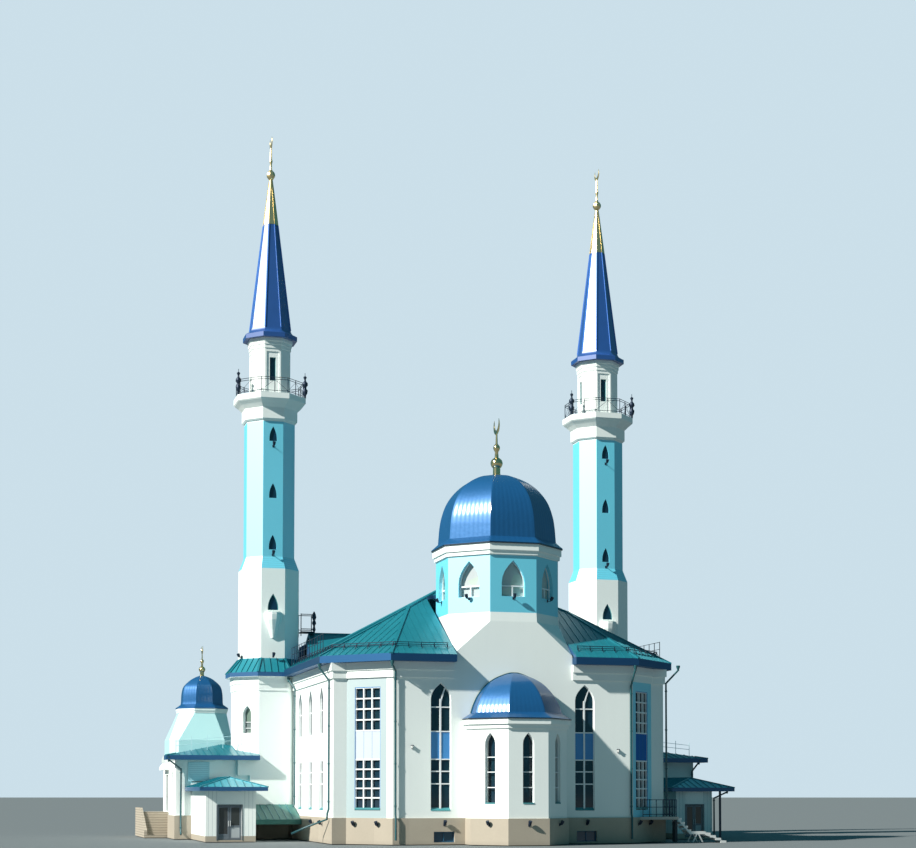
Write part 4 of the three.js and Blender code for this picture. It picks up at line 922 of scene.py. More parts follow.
class MOSQUE_OT_main_roof_sheet(bpy.types.Operator):
    """Lay the standing seams, hip caps and snow guards on the hall's and the entrance's roofs"""
    bl_idname = "mosque.main_roof_sheet"
    bl_label = "Main roof sheet"

    def execute(self, context):
        sizes = context.scene.mosque_sizes
        a, b, top, ridge = main_roof_slopes()
        side, tower, depth = HALL_HALF + EAVE_OUT, BAY_HALF + 0.02, 2 * DRUM_CENTRE[1]
        far_ridge = (-ridge[0], *ridge[1:])
        reach = top[1] + top[0] - tower
        front = [(tower, -EAVE_OUT, FASCIA_TOP), a, top, on_main(tower, reach, reach + EAVE_OUT)]
        gap = [on_main(tower, depth, depth + EAVE_OUT), ridge, far_ridge,
               on_main(-tower, depth, depth + EAVE_OUT)]
        flank = [b, (side, 14.9, FASCIA_TOP), on_main(side - 1.5, HALL_BACK - 0.05, 1.5), ridge, top]
        sheets = [front, [a, b, top], flank, gap]
        sheets += [mirrored_points(p) for p in sheets[:3]]
        hips = [(a, top), (b, top), (top, ridge), (on_main(side - 1.6, HALL_BACK - 1.6, 1.6), ridge)]
        hips += [tuple(mirrored_points(h)) for h in hips] + [(ridge, far_ridge)]
        make("main_roof_seams", joined(*[seams(p, sizes.seam_spacing) for p in sheets]), "seam")
        make("main_roof_caps", caps(hips), "seam")
        near, bend, far = np.array([a, b, (side, 14.6, FASCIA_TOP)])
        diagonal = np.array([-1, 1, 0]) * math.sqrt(0.5)
        edges = (([(tower + 0.3, -EAVE_OUT, FASCIA_TOP), near - [0.4, 0, 0]], (0, 1, 0), 5),
                 ([near + [0.2, 0.2, 0], bend - [0.2, 0.2, 0]], diagonal, 6),
                 ([bend + [0, 0.5, 0], far], (-1, 0, 0), 13))
        rails = joined(*[guard_rails(*edge, sizes.guard_run) for edge in edges])
        make("snow_guards", joined(rails, moved(rails, mirror=True)), "iron")
        return {"FINISHED"}


# Domes and spires

DOME_RIM = ((3.3, 18.0), (4.1, 18.0), (4.1, 18.1))
DOME_LINE = ((3.68, 18.46), (3.64, 18.97), (3.59, 19.5), (3.48, 20.1), (3.22, 20.85), (2.8, 21.5),
             (2.15, 22.1), (1.25, 22.55), (0.3, 22.75))
HALF_DOME_RIM = ((2.7, 7.35), (3.46, 7.35), (3.46, 7.42))
HALF_DOME_LINE = ((2.88, 7.76), (2.8, 8.02), (2.69, 8.3), (2.39, 8.85), (1.85, 9.45), (1.31, 9.81),
                  (0.73, 10.05), (0.3, 10.17), (0.05, 10.19))
WING_DOME_RIM = ((1.5, 9.0), (1.93, 9.0), (1.93, 9.08))
WING_DOME_LINE = ((1.57, 9.32), (1.54, 9.5), (1.53, 9.8), (1.49, 10.2), (1.34, 10.65), (0.85, 11.1),
                  (0.4, 11.33), (0.12, 11.4))
WING_TOWER = (15.45, 25.6)
FULL_ROUND = tuple((k, 0.0, 1.0) for k in range(8))
FRONT_HALF_ROUND = ((3, 0.5, 1.0), (4, 0.0, 1.0), (5, 0.0, 1.0), (6, 0.0, 1.0), (7, 0.0, 0.5))


def smooth_line(points, steps=4):
    """A Catmull-Rom curve through points.

    Between b and c, with neighbours a and d, it is half of
    2b + (c - a) t + (2a - 5b + 4c - d) t^2 + (3b - a - 3c + d) t^3.
    """
    p = np.asarray(points, float)
    p = np.concatenate([[2 * p[0] - p[1]], p, [2 * p[-1] - p[-2]]])
    t = np.linspace(0, 1, steps, endpoint=False)[:, None]
    spans = []
    for a, b, c, d in zip(p, p[1:], p[2:], p[3:]):
        square, cube = 2 * a - 5 * b + 4 * c - d, 3 * b - a - 3 * c + d
        spans.append((2 * b + (c - a) * t + square * t ** 2 + cube * t ** 3) / 2)
    return np.concatenate([*spans, p[-2:-1]])


def unit(angle):
    """The unit vector of an angle: its cosine and its sine."""
    return np.array([math.cos(angle), math.sin(angle)])


def faceted(profile, ribs, bulge, centre=(0, 0), facets=FULL_ROUND, steps=4):
    """An eight-sided body of flat facets, each pressed into ribs that run up it.

    At share u across a facet the point is r ((1 - u) c0 + u c1), c0 and c1 being the unit vectors to its
    corners, pushed out along the facet's normal by bulge * 4 f (1 - f) * r / r_max, where f is the fraction
    part of u * ribs.
    """
    profile = np.asarray(profile, float)
    r, z = profile[:, 0], profile[:, 1]
    parts = []
    for k, u0, u1 in facets:
        u = np.linspace(u0, u1, int(round(ribs * steps * (u1 - u0))) + 1)
        first, last, normal = (unit(math.pi * (2 * k + m) / 8) for m in (1, 3, 2))
        across = (1 - u)[:, None] * first + u[:, None] * last
        f = np.mod(u * ribs, 1.0)
        push = bulge * 4 * f * (1 - f)
        flat = r[:, None, None] * across + (r / r.max())[:, None, None] * push[None, :, None] * normal
        heights = np.broadcast_to(z[:, None, None], (*flat.shape[:2], 1))
        verts = np.concatenate([flat + np.asarray(centre), heights], 2)
        parts.append((verts, grid_faces(len(r), len(u))))
    return joined(*parts)


HOLLOW, LIFT = 0.83, 0.33
CRESCENT_RINGS = 25


def crescent(radius, centre, thick=0.11):
    """A crescent that opens upwards and faces the sides, in the plane x = centre x.

    In direction e from its centre it lies between the outer circle and an inner one, HOLLOW times as wide,
    whose centre is c = LIFT * radius higher: e.c + sqrt(inner^2 - c^2 + (e.c)^2). Its section is an ellipse
    that thins to the tips.
    """
    tip = math.asin((1 + LIFT ** 2 - HOLLOW ** 2) / 2 / LIFT)
    t = np.linspace(math.pi - tip, 2 * math.pi + tip, CRESCENT_RINGS)
    rise = LIFT * radius * np.sin(t)
    inner = rise + np.sqrt((HOLLOW * radius) ** 2 - (LIFT * radius) ** 2 + rise ** 2)
    half = np.maximum(radius - inner, 0.004) / 2
    middle = radius - half
    phi = 2 * np.pi * np.arange(8) / 8
    reach = middle[:, None] + half[:, None] * np.cos(phi)
    depth = thick * radius * np.sqrt(half / half.max())[:, None] * np.sin(phi)
    x, y, z = centre
    verts = np.stack([x + depth, y + reach * np.cos(t)[:, None], z + reach * np.sin(t)[:, None]], -1)
    last = 8 * (CRESCENT_RINGS - 1)
    faces = [*grid_faces(CRESCENT_RINGS, 8, False, True), np.arange(8)[::-1], np.arange(8) + last]
    return verts.reshape(-1, 3), faces


FINIAL_LINE = ((0.0, 0.0), (0.3, 0.0), (0.27, 0.05), (0.22, 0.09), (0.22, 0.46), (0.27, 0.5), (0.32, 0.58),
               (0.36, 0.7), (0.36, 0.8), (0.31, 0.93), (0.2, 1.03), (0.12, 1.08), (0.1, 1.42), (0.15, 1.5),
               (0.2, 1.62), (0.2, 1.72), (0.14, 1.83), (0.07, 1.9), (0.05, 2.48), (0.0, 2.48))
SPIRE_LINE = ((1.2, 33.9), (1.9, 33.9), (1.9, 34.2), (1.82, 34.24), (1.58, 34.36), (1.48, 34.5),
              (1.44, 34.65), (0.52, 42.0))
SPIRE_CAP_LINE = ((0.535, 42.0), (0.53, 42.1), (0.1, 45.2), (0.14, 45.24), (0.2, 45.29), (0.28, 45.42),
                  (0.3, 45.53), (0.28, 45.65), (0.2, 45.78), (0.11, 45.86), (0.075, 45.95), (0.07, 46.35),
                  (0.1, 46.42), (0.11, 46.5), (0.1, 46.58), (0.07, 46.65), (0.05, 47.5), (0.0, 47.5))
SPIRE_TIP = 45.2


def finial(foot, scale, centre):
    """A gilded finial: foot, two balls and stem, turned in 20 sides, with its crescent."""
    line = np.asarray(FINIAL_LINE) * scale + [0, foot]
    return joined(turned(line, 20, centre), crescent(0.57 * scale, (*centre, foot + 3.0 * scale)))


class MOSQUE_OT_domes(bpy.types.Operator):
    """Cover the domes in glossy facets of narrow pressed strips, and crown them with finials"""
    bl_idname = "mosque.domes"
    bl_label = "Domes"

    def execute(self, context):
        line = np.concatenate([DOME_RIM, smooth_line(DOME_LINE)])
        make("dome_sheet", faceted(line, 9, 0.008, DRUM_CENTRE), "dome", 30, ["dome"])
        line = np.concatenate([HALF_DOME_RIM, smooth_line(HALF_DOME_LINE)])
        make("niche_dome_sheet", faceted(line, 8, 0.007, (0, -0.02), FRONT_HALF_ROUND), "dome", 30,
             ["niche_dome"])
        arc = np.array([(r * FLAT, -0.03, z) for r, z in smooth_line(HALF_DOME_LINE)])
        arc = np.concatenate([arc * [-1, 1, 1], arc[-2::-1]])
        make("niche_flashing", carried(rectangle(-0.015, 0.05, 0, 0.07), arc, (0, -1, 0)), "pipe")
        make("dome_finial_gilt", finial(22.72, 1.05, DRUM_CENTRE), "gilt", 40, ["dome_finial"])
        line = np.concatenate([WING_DOME_RIM, smooth_line(WING_DOME_LINE)])
        for side, sign in LEFT_RIGHT:
            centre = (sign * WING_TOWER[0], WING_TOWER[1])
            make(f"wing_dome_sheet_{side}", faceted(line, 5, 0.005, centre), "dome", 30,
                 [f"wing_dome_{side}"])
            make(f"wing_finial_{side}", finial(11.38, 0.64, centre), "gilt", 40)
        return {"FINISHED"}


class MOSQUE_OT_spires(bpy.types.Operator):
    """Cover the spires in blue sheet with ridge battens, and gild their tips"""
    bl_idname = "mosque.spires"
    bl_label = "Spires"

    def execute(self, context):
        around = octagon_points(1.0, 0.0)
        low, high = [around * [r, r, 0] + [0, 0, z] for r, z in SPIRE_LINE[-2:]]
        battens = strips(low, high, around, 0.07, 0.035, 0.03)
        top = around * [0.1, 0.1, 0] + [0, 0, SPIRE_TIP]
        gilded = strips(high, top, around, 0.05, 0.03, 0.03)
        gilt = joined(turned(SPIRE_CAP_LINE, 8), gilded, crescent(0.46, (0, 0, 47.85)))
        sheet = faceted(SPIRE_LINE, 1, 0.0, steps=2)
        for side, sign in LEFT_RIGHT:
            place = minaret_place(sign)
            make(f"spire_sheet_{side}", moved(sheet, place), "spire", 30, [f"minaret_spire_{side}"])
            make(f"spire_battens_{side}", moved(battens, place), "batten")
            make(f"spire_gilding_{side}", moved(gilt, place), "tip_gilt", 30)
        return {"FINISHED"}


# Gutters, pipes and railings

def tube(points, radius, sides=8):
    """A round pipe along points: rings of radius (cos a side + sin a up) about each, square to its run."""
    p = np.asarray(points, float)
    step = np.diff(p, axis=0)
    step /= np.linalg.norm(step, axis=1, keepdims=True)
    along = np.concatenate([step[:1], step[:-1] + step[1:], step[-1:]])
    along /= np.linalg.norm(along, axis=1, keepdims=True)
    side = np.cross(along, (0.28, 0.93, 0.24))
    side /= np.linalg.norm(side, axis=1, keepdims=True)
    up = np.cross(along, side)
    a = 2 * np.pi * np.arange(sides) / sides
    ring = np.cos(a)[:, None] * side[:, None] + np.sin(a)[:, None] * up[:, None]
    verts = p[:, None] + radius * ring
    last = sides * (len(p) - 1)
    faces = [*grid_faces(len(p), sides, False, True), np.arange(sides)[::-1], np.arange(sides) + last]
    return verts.reshape(-1, 3), faces


def rods(starts, ends, radius):
    """Straight round rods between pairs of points."""
    return joined(*[tube([a, b], radius, 6) for a, b in zip(starts, ends)])


def downpipe(route, radius, clips=2.2):
    """A pipe down a wall with collars on its upright stretches."""
    parts = [tube(route, radius)]
    for a, b in zip(np.asarray(route, float), np.asarray(route, float)[1:]):
        length = np.linalg.norm(b - a)
        if length > clips and abs(a[2] - b[2]) > 0.9 * length:
            for share in np.linspace(0.06, 0.94, int(length / clips) + 1):
                spot = a + (b - a) * share
                parts.append(tube([spot + [0, 0, 0.04], spot - [0, 0, 0.04]], radius + 0.018))
    return joined(*parts)


def hopper(x, y, z):
    """A rainwater head under a gutter outlet."""
    line = np.array([(0.0, -0.34), (0.06, -0.34), (0.07, -0.22), (0.12, -0.1), (0.12, 0.0), (0.0, 0.0)])
    return turned(line + [0, z], 8, (x, y))


LEFT_PIPES = (
    ((-11.2, 3.1, 10.72), (-11.2, 3.1, 10.5), (-10.64, 3.0, 9.75), (-10.64, 3.0, 2.05), (-10.72, 3.0, 1.8),
     (-10.74, 3.0, 1.45), (-11.6, 4.6, 1.0), (-12.6, 4.6, 0.57)),
    ((-10.95, 15.4, 10.7), (-10.95, 15.3, 10.55), (-10.66, 14.6, 9.9), (-10.66, 14.6, 2.35),
     (-10.75, 14.5, 2.1)),
    ((-18.85, 15.2, 5.35), (-18.85, 15.25, 5.2), (-17.98, 15.85, 4.6), (-17.98, 15.85, 0.5),
     (-17.98, 15.6, 0.3)),
)
FRONT_PIPES = (
    ((-7.62, -0.7, 10.72), (-7.62, -0.7, 10.55), (-7.3, -0.14, 10.2), (-7.28, -0.14, 1.75),
     (-7.28, -0.24, 1.5), (-7.28, -0.24, 0.25)),
    ((7.5, -0.72, 10.72), (7.5, -0.7, 10.5), (7.45, -0.1, 9.55), (7.45, -0.1, 1.75), (7.45, -0.2, 1.5),
     (7.45, -0.2, 0.25)),
)
RIGHT_PIPES = (
    ((11.3, 1.75, 10.95), (11.3, 1.75, 10.7), (10.66, 2.2, 9.9), (10.66, 2.2, 1.65)),
    ((18.4, 15.2, 5.35), (18.4, 15.25, 5.2), (18.15, 15.85, 4.6), (18.15, 15.85, 0.5), (18.15, 15.6, 0.3)),
    ((17.45, 8.25, 3.3), (17.45, 8.3, 3.1), (16.62, 8.52, 2.7), (16.62, 8.52, 0.3)),
)


class MOSQUE_OT_pipes(bpy.types.Operator):
    """Hang the rainwater heads and downpipes on the walls"""
    bl_idname = "mosque.pipes"
    bl_label = "Downpipes"

    def execute(self, context):
        for name, routes in (("left", LEFT_PIPES), ("front", FRONT_PIPES), ("right", RIGHT_PIPES)):
            heads = [hopper(*route[0][:2], route[0][2] + 0.05) for route in routes]
            pipes = [downpipe(route, context.scene.mosque_sizes.pipe) for route in routes]
            make(f"downpipes_{name}", joined(*pipes, *heads), "pipe", 50)
        return {"FINISHED"}


def octagon_points(radius, height):
    """Corners of a level octagon, at the angles (k + 1/2) pi / 4, so that its flats face the axes."""
    t = (np.arange(8) + 0.5) * math.pi / 4
    return np.stack([radius * np.cos(t), radius * np.sin(t), np.full(8, height)], 1)


def fence(path, levels, height, spacing, rail=0.02, post=0.03, closed=False):
    """A railing along a path of floor points: rods at levels, posts at corners and between by spacing."""
    p = np.asarray(path, float)
    ends = np.roll(p, -1, 0) if closed else p[1:]
    starts = p if closed else p[:-1]
    rails = [rods(starts + UP * z, ends + UP * z, rail) for z in levels]
    feet = []
    for a, b in zip(starts, ends):
        count = max(1, int(round(np.linalg.norm(b - a) / spacing)))
        feet += [a + (b - a) * t for t in np.linspace(0, 1, count, endpoint=False)]
    if not closed:
        feet.append(p[-1])
    feet = np.array(feet)
    return joined(*rails, rods(feet, feet + UP * height, post))


BALCONY_Z = 29.95
BALCONY_POST = ((0, 29.95), (0.07, 29.95), (0.08, 30.15), (0.16, 30.28), (0.19, 30.5), (0.1, 30.62),
                (0.1, 30.72), (0.2, 30.86), (0.18, 31.02), (0.07, 31.15), (0.06, 31.28), (0.11, 31.36),
                (0.11, 31.44), (0.02, 31.5), (0.02, 31.7), (0, 31.7))
RIDGE_KNOB = ((0, 14.0), (0.05, 14.0), (0.12, 14.15), (0.06, 14.4), (0.15, 14.6), (0.08, 14.8),
              (0.16, 15.0), (0.1, 15.25), (0.03, 15.4), (0, 15.4))
DECK = 1.57
PLATFORM_EDGES = (
    ("front", "right", ((8.6, 0.95, DECK), (10.8, 0.95, DECK))),
    ("side", "side", ((10.8, 1.95, DECK), (11.3, 2.45, DECK), (11.3, 5.1, DECK))),
)
WING_RAIL = ((18.25, 16.6, 5.7), (14.1, 16.6, 6.1))
RIDGE_EXIT = ((-9.75, 17.5, 13.7), (-8.85, 17.5, 13.7), (-8.85, 18.5, 13.7), (-9.75, 18.5, 13.7))
RIDGE_LID = (-9.75, -8.8, 17.4, 18.6, 13.96, 14.02)


def balcony_railing(rail):
    """The minaret's railing about its axis: level rods and posts; light stays and an ornate side post."""
    base = octagon_points(2.34, BALCONY_Z)
    main = fence(base, (0.16, 0.92, 1.06), 1.08, 1.0, rail, 0.026, True)
    mid = (base + np.roll(base, -1, 0)) / 2
    stays = rods(np.concatenate([base, base]) + [0, 0, 0.18],
                 np.concatenate([mid, np.roll(mid, 1, 0)]) + [0, 0, 0.9], 0.011)
    posts = [turned(BALCONY_POST, 10, (sign * 2.28, -0.93)) for _, sign in LEFT_RIGHT]
    return main, joined(stays, *posts)


class MOSQUE_OT_railings(bpy.types.Operator):
    """Put up the railings of balconies, platform and roofs"""
    bl_idname = "mosque.railings"
    bl_label = "Railings"

    def execute(self, context):
        rail = context.scene.mosque_sizes.rail
        main, extras = balcony_railing(rail)
        for side, sign in LEFT_RIGHT:
            place = minaret_place(sign)
            make(f"balcony_rails_{side}", moved(main, place), "iron", 50, [f"minaret_railing_{side}"])
            make(f"balcony_posts_{side}", moved(extras, place), "iron", 50)
        for key, node, edge in PLATFORM_EDGES:
            rails = fence(edge, (0.15, 0.6, 1.05), 1.08, 0.45, rail, 0.024)
            make(f"platform_rails_{key}", rails, "iron", 50, [f"platform_railing_{node}"])
        roof = fence(WING_RAIL, (0.45, 0.75), 0.97, 1.15, 0.015, 0.018)
        # The wing roofs' rails are iron, given the pale louvre blue as painted sunlight on them.
        make("wing_roof_rails", joined(roof, moved(roof, mirror=True)), "louvre", 50)
        box = fence(RIDGE_EXIT, (0.5, 1.5), 1.55, 0.9, 0.025, 0.03)
        knob = turned(RIDGE_KNOB, 10, RIDGE_EXIT[1][:2])
        make("ridge_exit_rails", joined(box, knob, boxes([RIDGE_LID])), "iron", 50)
        return {"FINISHED"}


# Lesser roofs

WING_SLOPE = ((12.95, 15.1, 5.5), (19.05, 15.1, 5.5), (14.835, 19.315, 6.343), (12.95, 17.43, 5.966))
WING_HIP = ((19.05, 15.1, 5.5), (18.35, 15.8, 5.64))
PORCH_X = ((-17.7, -13.46), (13.46, 17.93))
PORCH_Y = (8.1, 15.9)
PORCH_EAVE, PORCH_SLOPE = 3.4, 0.3
ENTRANCE_SLOPE = ((-9.5, 22.95, 11.2), (9.5, 22.95, 11.2), (9.5, 18.0, 13.95), (-9.5, 18.0, 13.95))
SKIRT_EAVE, SKIRT_TOP = (2.97, 11.08), (2.12, 12.05)  # radius and height
EAVES_RAIL = (3.75, 14.6)  # from y to y
LEAN_SLOPE = ((-14.1, 12.3, 1.3), (-10.65, 12.3, 1.3), (-10.65, 15.6, 2.27), (-14.1, 15.6, 2.27))


def sheet_on(polygons, edges, spacing=0.45):
    """Seams on flat slopes and caps on their edges, for a lesser roof."""
    parts = [seams(p, spacing, 0.03, 0.04) for p in polygons]
    if edges:
        parts.append(caps(edges, 0.14, 0.04, 0.03))
    return joined(*parts)


def hip_slopes(x, y, eave, slope):
    """Front, right and left slopes and the hips of a hip roof, whose height is eave + slope * run."""
    run = (x[1] - x[0]) / 2
    mid, top = (x[0] + x[1]) / 2, eave + slope * run
    a, b, front = (x[0], y[0], eave), (x[1], y[0], eave), (mid, y[0] + run, top)
    back = (mid, y[1], top)
    low_left, low_right = (x[0], y[1], eave), (x[1], y[1], eave)
    slopes = [[a, b, front], [b, low_right, back, front], [low_left, a, front, back]]
    return slopes, [(b, front), (front, back), (a, front)]


class MOSQUE_OT_small_roof_sheet(bpy.types.Operator):
    """Lay seams and caps on the skirts, wings, porches, entrance and lean-to"""
    bl_idname = "mosque.small_roof_sheet"
    bl_label = "Small roof sheet"

    def execute(self, context):
        low, high = octagon_points(*SKIRT_EAVE), octagon_points(*SKIRT_TOP)
        skirt = sheet_on([[low[k], low[(k + 1) % 8], high[(k + 1) % 8], high[k]] for k in range(8)],
                         list(zip(low, high)))
        wing = sheet_on([WING_SLOPE], [WING_HIP])
        for side, sign in LEFT_RIGHT:
            make(f"skirt_seams_{side}", moved(skirt, minaret_place(sign)), "seam")
            make(f"wing_roof_seams_{side}", moved(wing, mirror=sign < 0), "seam")
        porches = [sheet_on(*hip_slopes(x, PORCH_Y, PORCH_EAVE, PORCH_SLOPE)) for x in PORCH_X]
        make("porch_roof_seams", joined(*porches, sheet_on([LEAN_SLOPE], [])), "seam")
        ridge = ENTRANCE_SLOPE[3], ENTRANCE_SLOPE[2]
        make("entrance_roof_seams", sheet_on([ENTRANCE_SLOPE], [ridge], 0.5), "seam")
        line = [on_main(HALL_HALF + EAVE_OUT - 0.4, y, 0.4) for y in EAVES_RAIL]
        rail = fence(line, (0.75, 1.2), 1.22, 0.9, 0.018, 0.022)
        make("eaves_rails", joined(rail, moved(rail, mirror=True)), "iron", 50)
        return {"FINISHED"}


# Small windows, lamps and doors

def flat_window(half, sill, top, y, panes=(1, 1), bar=0.05, deep=0.05):
    """White bars of a square-headed window in the plane y: an edge and evenly spread bars across and up."""
    line = [(-half, sill), (-half, top), (half, top), (half, sill)]
    edge = frame_along(line, y, bar, deep)
    across = [-half + 2 * half * k / panes[0] for k in range(1, panes[0])]
    levels = [sill + (top - sill) * k / panes[1] for k in range(1, panes[1])]
    inner = [[x - bar / 2, x + bar / 2, y - deep, y, sill, top] for x in across]
    inner += [[-half, half, y - deep * 0.9, y, z - bar / 2, z + bar / 2] for z in levels]
    return joined(edge, boxes(inner)) if inner else edge


def flat_pane(half, sill, top, y, thick=0.03):
    """A pane from -half to half and sill to top, from y to y + thick."""
    return boxes([[-half, half, y, y + thick, sill, top]])


SLOT_TIPS = (20.4, 23.9, 27.77)
LOWER_FLAT = 2.1 * FLAT
UPPER_FLAT = 1.77 * FLAT
TURRET_FLAT = 1.27
LOWER_SLOT = (0.35, 15.26, 15.42, 16.39)
TURRET = (0.21, 30.97, 32.57)
LAMP_TIPS = SLOT_TIPS[::2]
LAMP_TILT = math.radians(25)
LAMP_DROP = 1.35  # below the tip of the slot above
SKIRT_LAMPS = (2.1, 12.15)  # reach and height
CORNER_LAMPS = (0.72, 1.88)  # along both directions from the front corner
SIDE_LAMPS = (5.2, 8.1)  # along the side walls
LAMP_CAN = ((0, -0.13), (0.07, -0.13), (0.1, -0.02), (0.11, 0.12), (0.09, 0.12), (0.085, 0.1), (0, 0.1))
LANTERNS = ((-6.26, 0, 5.74), (6.62, 0, 5.59))
LOUVRE = (-17.5, -16.1, 16.0, 3.86, 5.02)
BASEMENT = (0.64, 0.12, 0.75)
BASEMENT_X = (-4.31, 4.58)
WING_ROWS = (18.2, 20.6, 23.0, 25.4)
WING_FACES = (18.3, 17.9)
WING_STEP = 20  # the wings' outer walls step in beyond this y
WING_BACK = 27.8
WING_BACK_X = (12.6, 15.2)
WING_SIDE_WINDOW = (0.35, 2.4, 4.4)
WING_BACK_WINDOW = (0.45, 2.4, 4.4)
PORCH_SLOT = (0.15, 1.2, 2.1)
PORCH_SLOT_PLACE = (-17.27, 10.05, 0)


def shaft_windows():
    """Frames, glass and sills of one minaret's slots, lower windows and turret, about its axis."""
    frames, glass, sills = [], [], []
    spots = [((0.255, tip - 0.995, tip - 0.8, tip - 0.005), UPPER_FLAT) for tip in SLOT_TIPS]
    spots.append((LOWER_SLOT, LOWER_FLAT))
    for line, reach in spots:
        arch, place = arch_line(*line, 6), (0, -reach, 0)
        glass += ringed(pane(arch, 0.08), place, (0, 180))
        if reach == LOWER_FLAT:
            half, sill = line[:2]
            lip = boxes([[-half - 0.04, half + 0.04, -0.05, 0.15, sill - 0.05, sill + 0.01]])
            frames += ringed(frame_along(arch, 0.08, 0.04, 0.05), place, (0, 180))
            sills += ringed(lip, place, (0, 180))
    turns, place = (0, 90, 180, 270), (0, -TURRET_FLAT, 0)
    frames += ringed(flat_window(*TURRET, 0.12, (1, 1), 0.035), place, turns)
    glass += ringed(flat_pane(*TURRET, 0.12), place, turns)
    return joined(*frames), joined(*glass), joined(*sills)


def wing_windows():
    """Bars and panes of the wings' side and back windows and of the left porch's slot."""
    bars, panes = [], []

    def place(window, divisions, depth, shift, turn):
        """Add a window and its pane, shifted and turned."""
        bars.append(moved(flat_window(*window, depth, divisions), shift, turn))
        panes.append(moved(flat_pane(*window, depth + 0.01), shift, turn))

    for sign, rows in ((1, WING_ROWS), (-1, WING_ROWS[:-1])):
        for y in rows:
            place(WING_SIDE_WINDOW, (1, 2), 0.15, (WING_FACES[y > WING_STEP] * sign, y, 0), 90 * sign)
        for x in WING_BACK_X:
            place(WING_BACK_WINDOW, (2, 2), 0.15, (x * sign, WING_BACK, 0), 180)
    place(PORCH_SLOT, (1, 1), 0.1, PORCH_SLOT_PLACE, -90)
    return joined(*bars), joined(*panes)


class MOSQUE_OT_small_windows(bpy.types.Operator):
    """Glaze the slots, turrets, basement, wings and porch"""
    bl_idname = "mosque.small_windows"
    bl_label = "Small windows"

    def execute(self, context):
        frames, glass, sills = shaft_windows()
        for side, sign in LEFT_RIGHT:
            for key, shape, paint in (("frames", frames, "sill"), ("glass", glass, "blue_glass"),
                                      ("sills", sills, "white")):
                make(f"shaft_{key}_{side}", moved(shape, minaret_place(sign)), paint)
        x0, x1, y1, z0, z1 = LOUVRE
        bar, y0 = 0.06, y1 - 0.06
        slats = [[x0 + bar, x1 - bar, y1 - 0.04, y1 - 0.01, z, z + 0.09]
                 for z in np.arange(3.9, 4.95, 0.125)]
        louvres = boxes([[x0, x1, y0, y1, z0 - bar, z0], [x0, x1, y0, y1, z1, z1 + bar],
                         [x0, x0 + bar, y0, y1, z0, z1], [x1 - bar, x1, y0, y1, z0, z1], *slats])
        make("wing_louvres", louvres, "louvre")
        backing = boxes([[x0 + bar, x1 - bar, y1 - 0.015, y1 - 0.002, z0, z1]])
        make("wing_louvre_backing", backing, "louvre_back")
        frame_bars, low_pane = flat_window(*BASEMENT, 0.12, (2, 1)), flat_pane(*BASEMENT, 0.13)
        for name, part, paint in (("frames", frame_bars, "basement"), ("panes", low_pane, "basement_glass")):
            make(f"basement_{name}", joined(*[moved(part, (x, 0, 0)) for x in BASEMENT_X]), paint)
        bars, panes = wing_windows()
        make("wing_window_bars", bars, "frame")
        make("small_panes", panes, "blue_glass")
        return {"FINISHED"}


def flood_lamp(arm):
    """A small floodlight on an arm from the wall y = 0: its can is tilted up about x by LAMP_TILT."""
    stay = tube([(0, 0.02, 0), (0, -arm, -0.02), (0, -arm - 0.06, 0.06)], 0.025, 6)
    verts, faces = turned(LAMP_CAN, 10)
    c, s = math.cos(LAMP_TILT), math.sin(LAMP_TILT)
    x, y, z = verts.T
    can = np.stack([x, y * c - z * s - arm - 0.08, y * s + z * c + 0.12], 1), faces
    plate = boxes([[-0.06, 0.06, -0.03, 0.0, -0.08, 0.08]])
    return joined(stay, can, plate)


def wall_lamp():
    """A wall lantern: a dark hood over a frosted drum."""
    hood = boxes([[-0.08, 0.08, -0.15, 0.0, 0.07, 0.11], [-0.035, 0.035, -0.05, 0.0, -0.12, 0.07]])
    shade = turned([(0, -0.09), (0.035, -0.09), (0.06, -0.02), (0.06, 0.07), (0, 0.07)], 10, (0, -0.1))
    return hood, shade


def floodlights():
    """All floodlights: round the drum, on the minarets, and low on the hall's and the niche's walls."""
    x, y = DRUM_CENTRE
    place = (x, y - DRUM_R * FLAT, DRUM["sill"] - 0.1)
    lamps = ringed(flood_lamp(0.22), place, range(0, 360, 45), DRUM_CENTRE)
    for _, sign in LEFT_RIGHT:
        x, y = minaret_place(sign)[:2]
        for tip in LAMP_TIPS:
            lamps += ringed(flood_lamp(0.3), (x, y - UPPER_FLAT, tip - LAMP_DROP), (0, 180), (x, y))
        reach, height = SKIRT_LAMPS
        lamps += ringed(flood_lamp(0.14), (x, y - reach, height), (-67.5, 0, 67.5), (x, y))
    low, short = PLINTH_TOP - 0.38, flood_lamp(0.1)
    lamps += [moved(short, (px, -0.1, low)) for px in BASEMENT_X]
    for _, sign in LEFT_RIGHT:
        lamps += [moved(short, ((FRONT_HALF + 0.04 + s) * sign, s - 0.06, low - 0.05), 45 * sign)
                  for s in CORNER_LAMPS]
    lamps += ringed(short, (0, -NICHE_R * FLAT - 0.1, low), (-45, 0, 45))
    for _, sign in LEFT_RIGHT:
        lamps += [moved(short, ((HALL_HALF + 0.1) * sign, py, low - 0.05), 90 * sign) for py in SIDE_LAMPS]
    return joined(*lamps)


class MOSQUE_OT_lamps(bpy.types.Operator):
    """Fix the lamps to the walls, the drum, the shafts and the skirt roofs"""
    bl_idname = "mosque.lamps"
    bl_label = "Lamps"

    def execute(self, context):
        make("floodlights", floodlights(), "iron", 40)
        hood, shade = wall_lamp()
        make("lantern_hoods", joined(*[moved(hood, p) for p in LANTERNS]), "iron")
        make("lantern_shades", joined(*[moved(shade, p) for p in LANTERNS]), "lamp", SMOOTH)
        return {"FINISHED"}


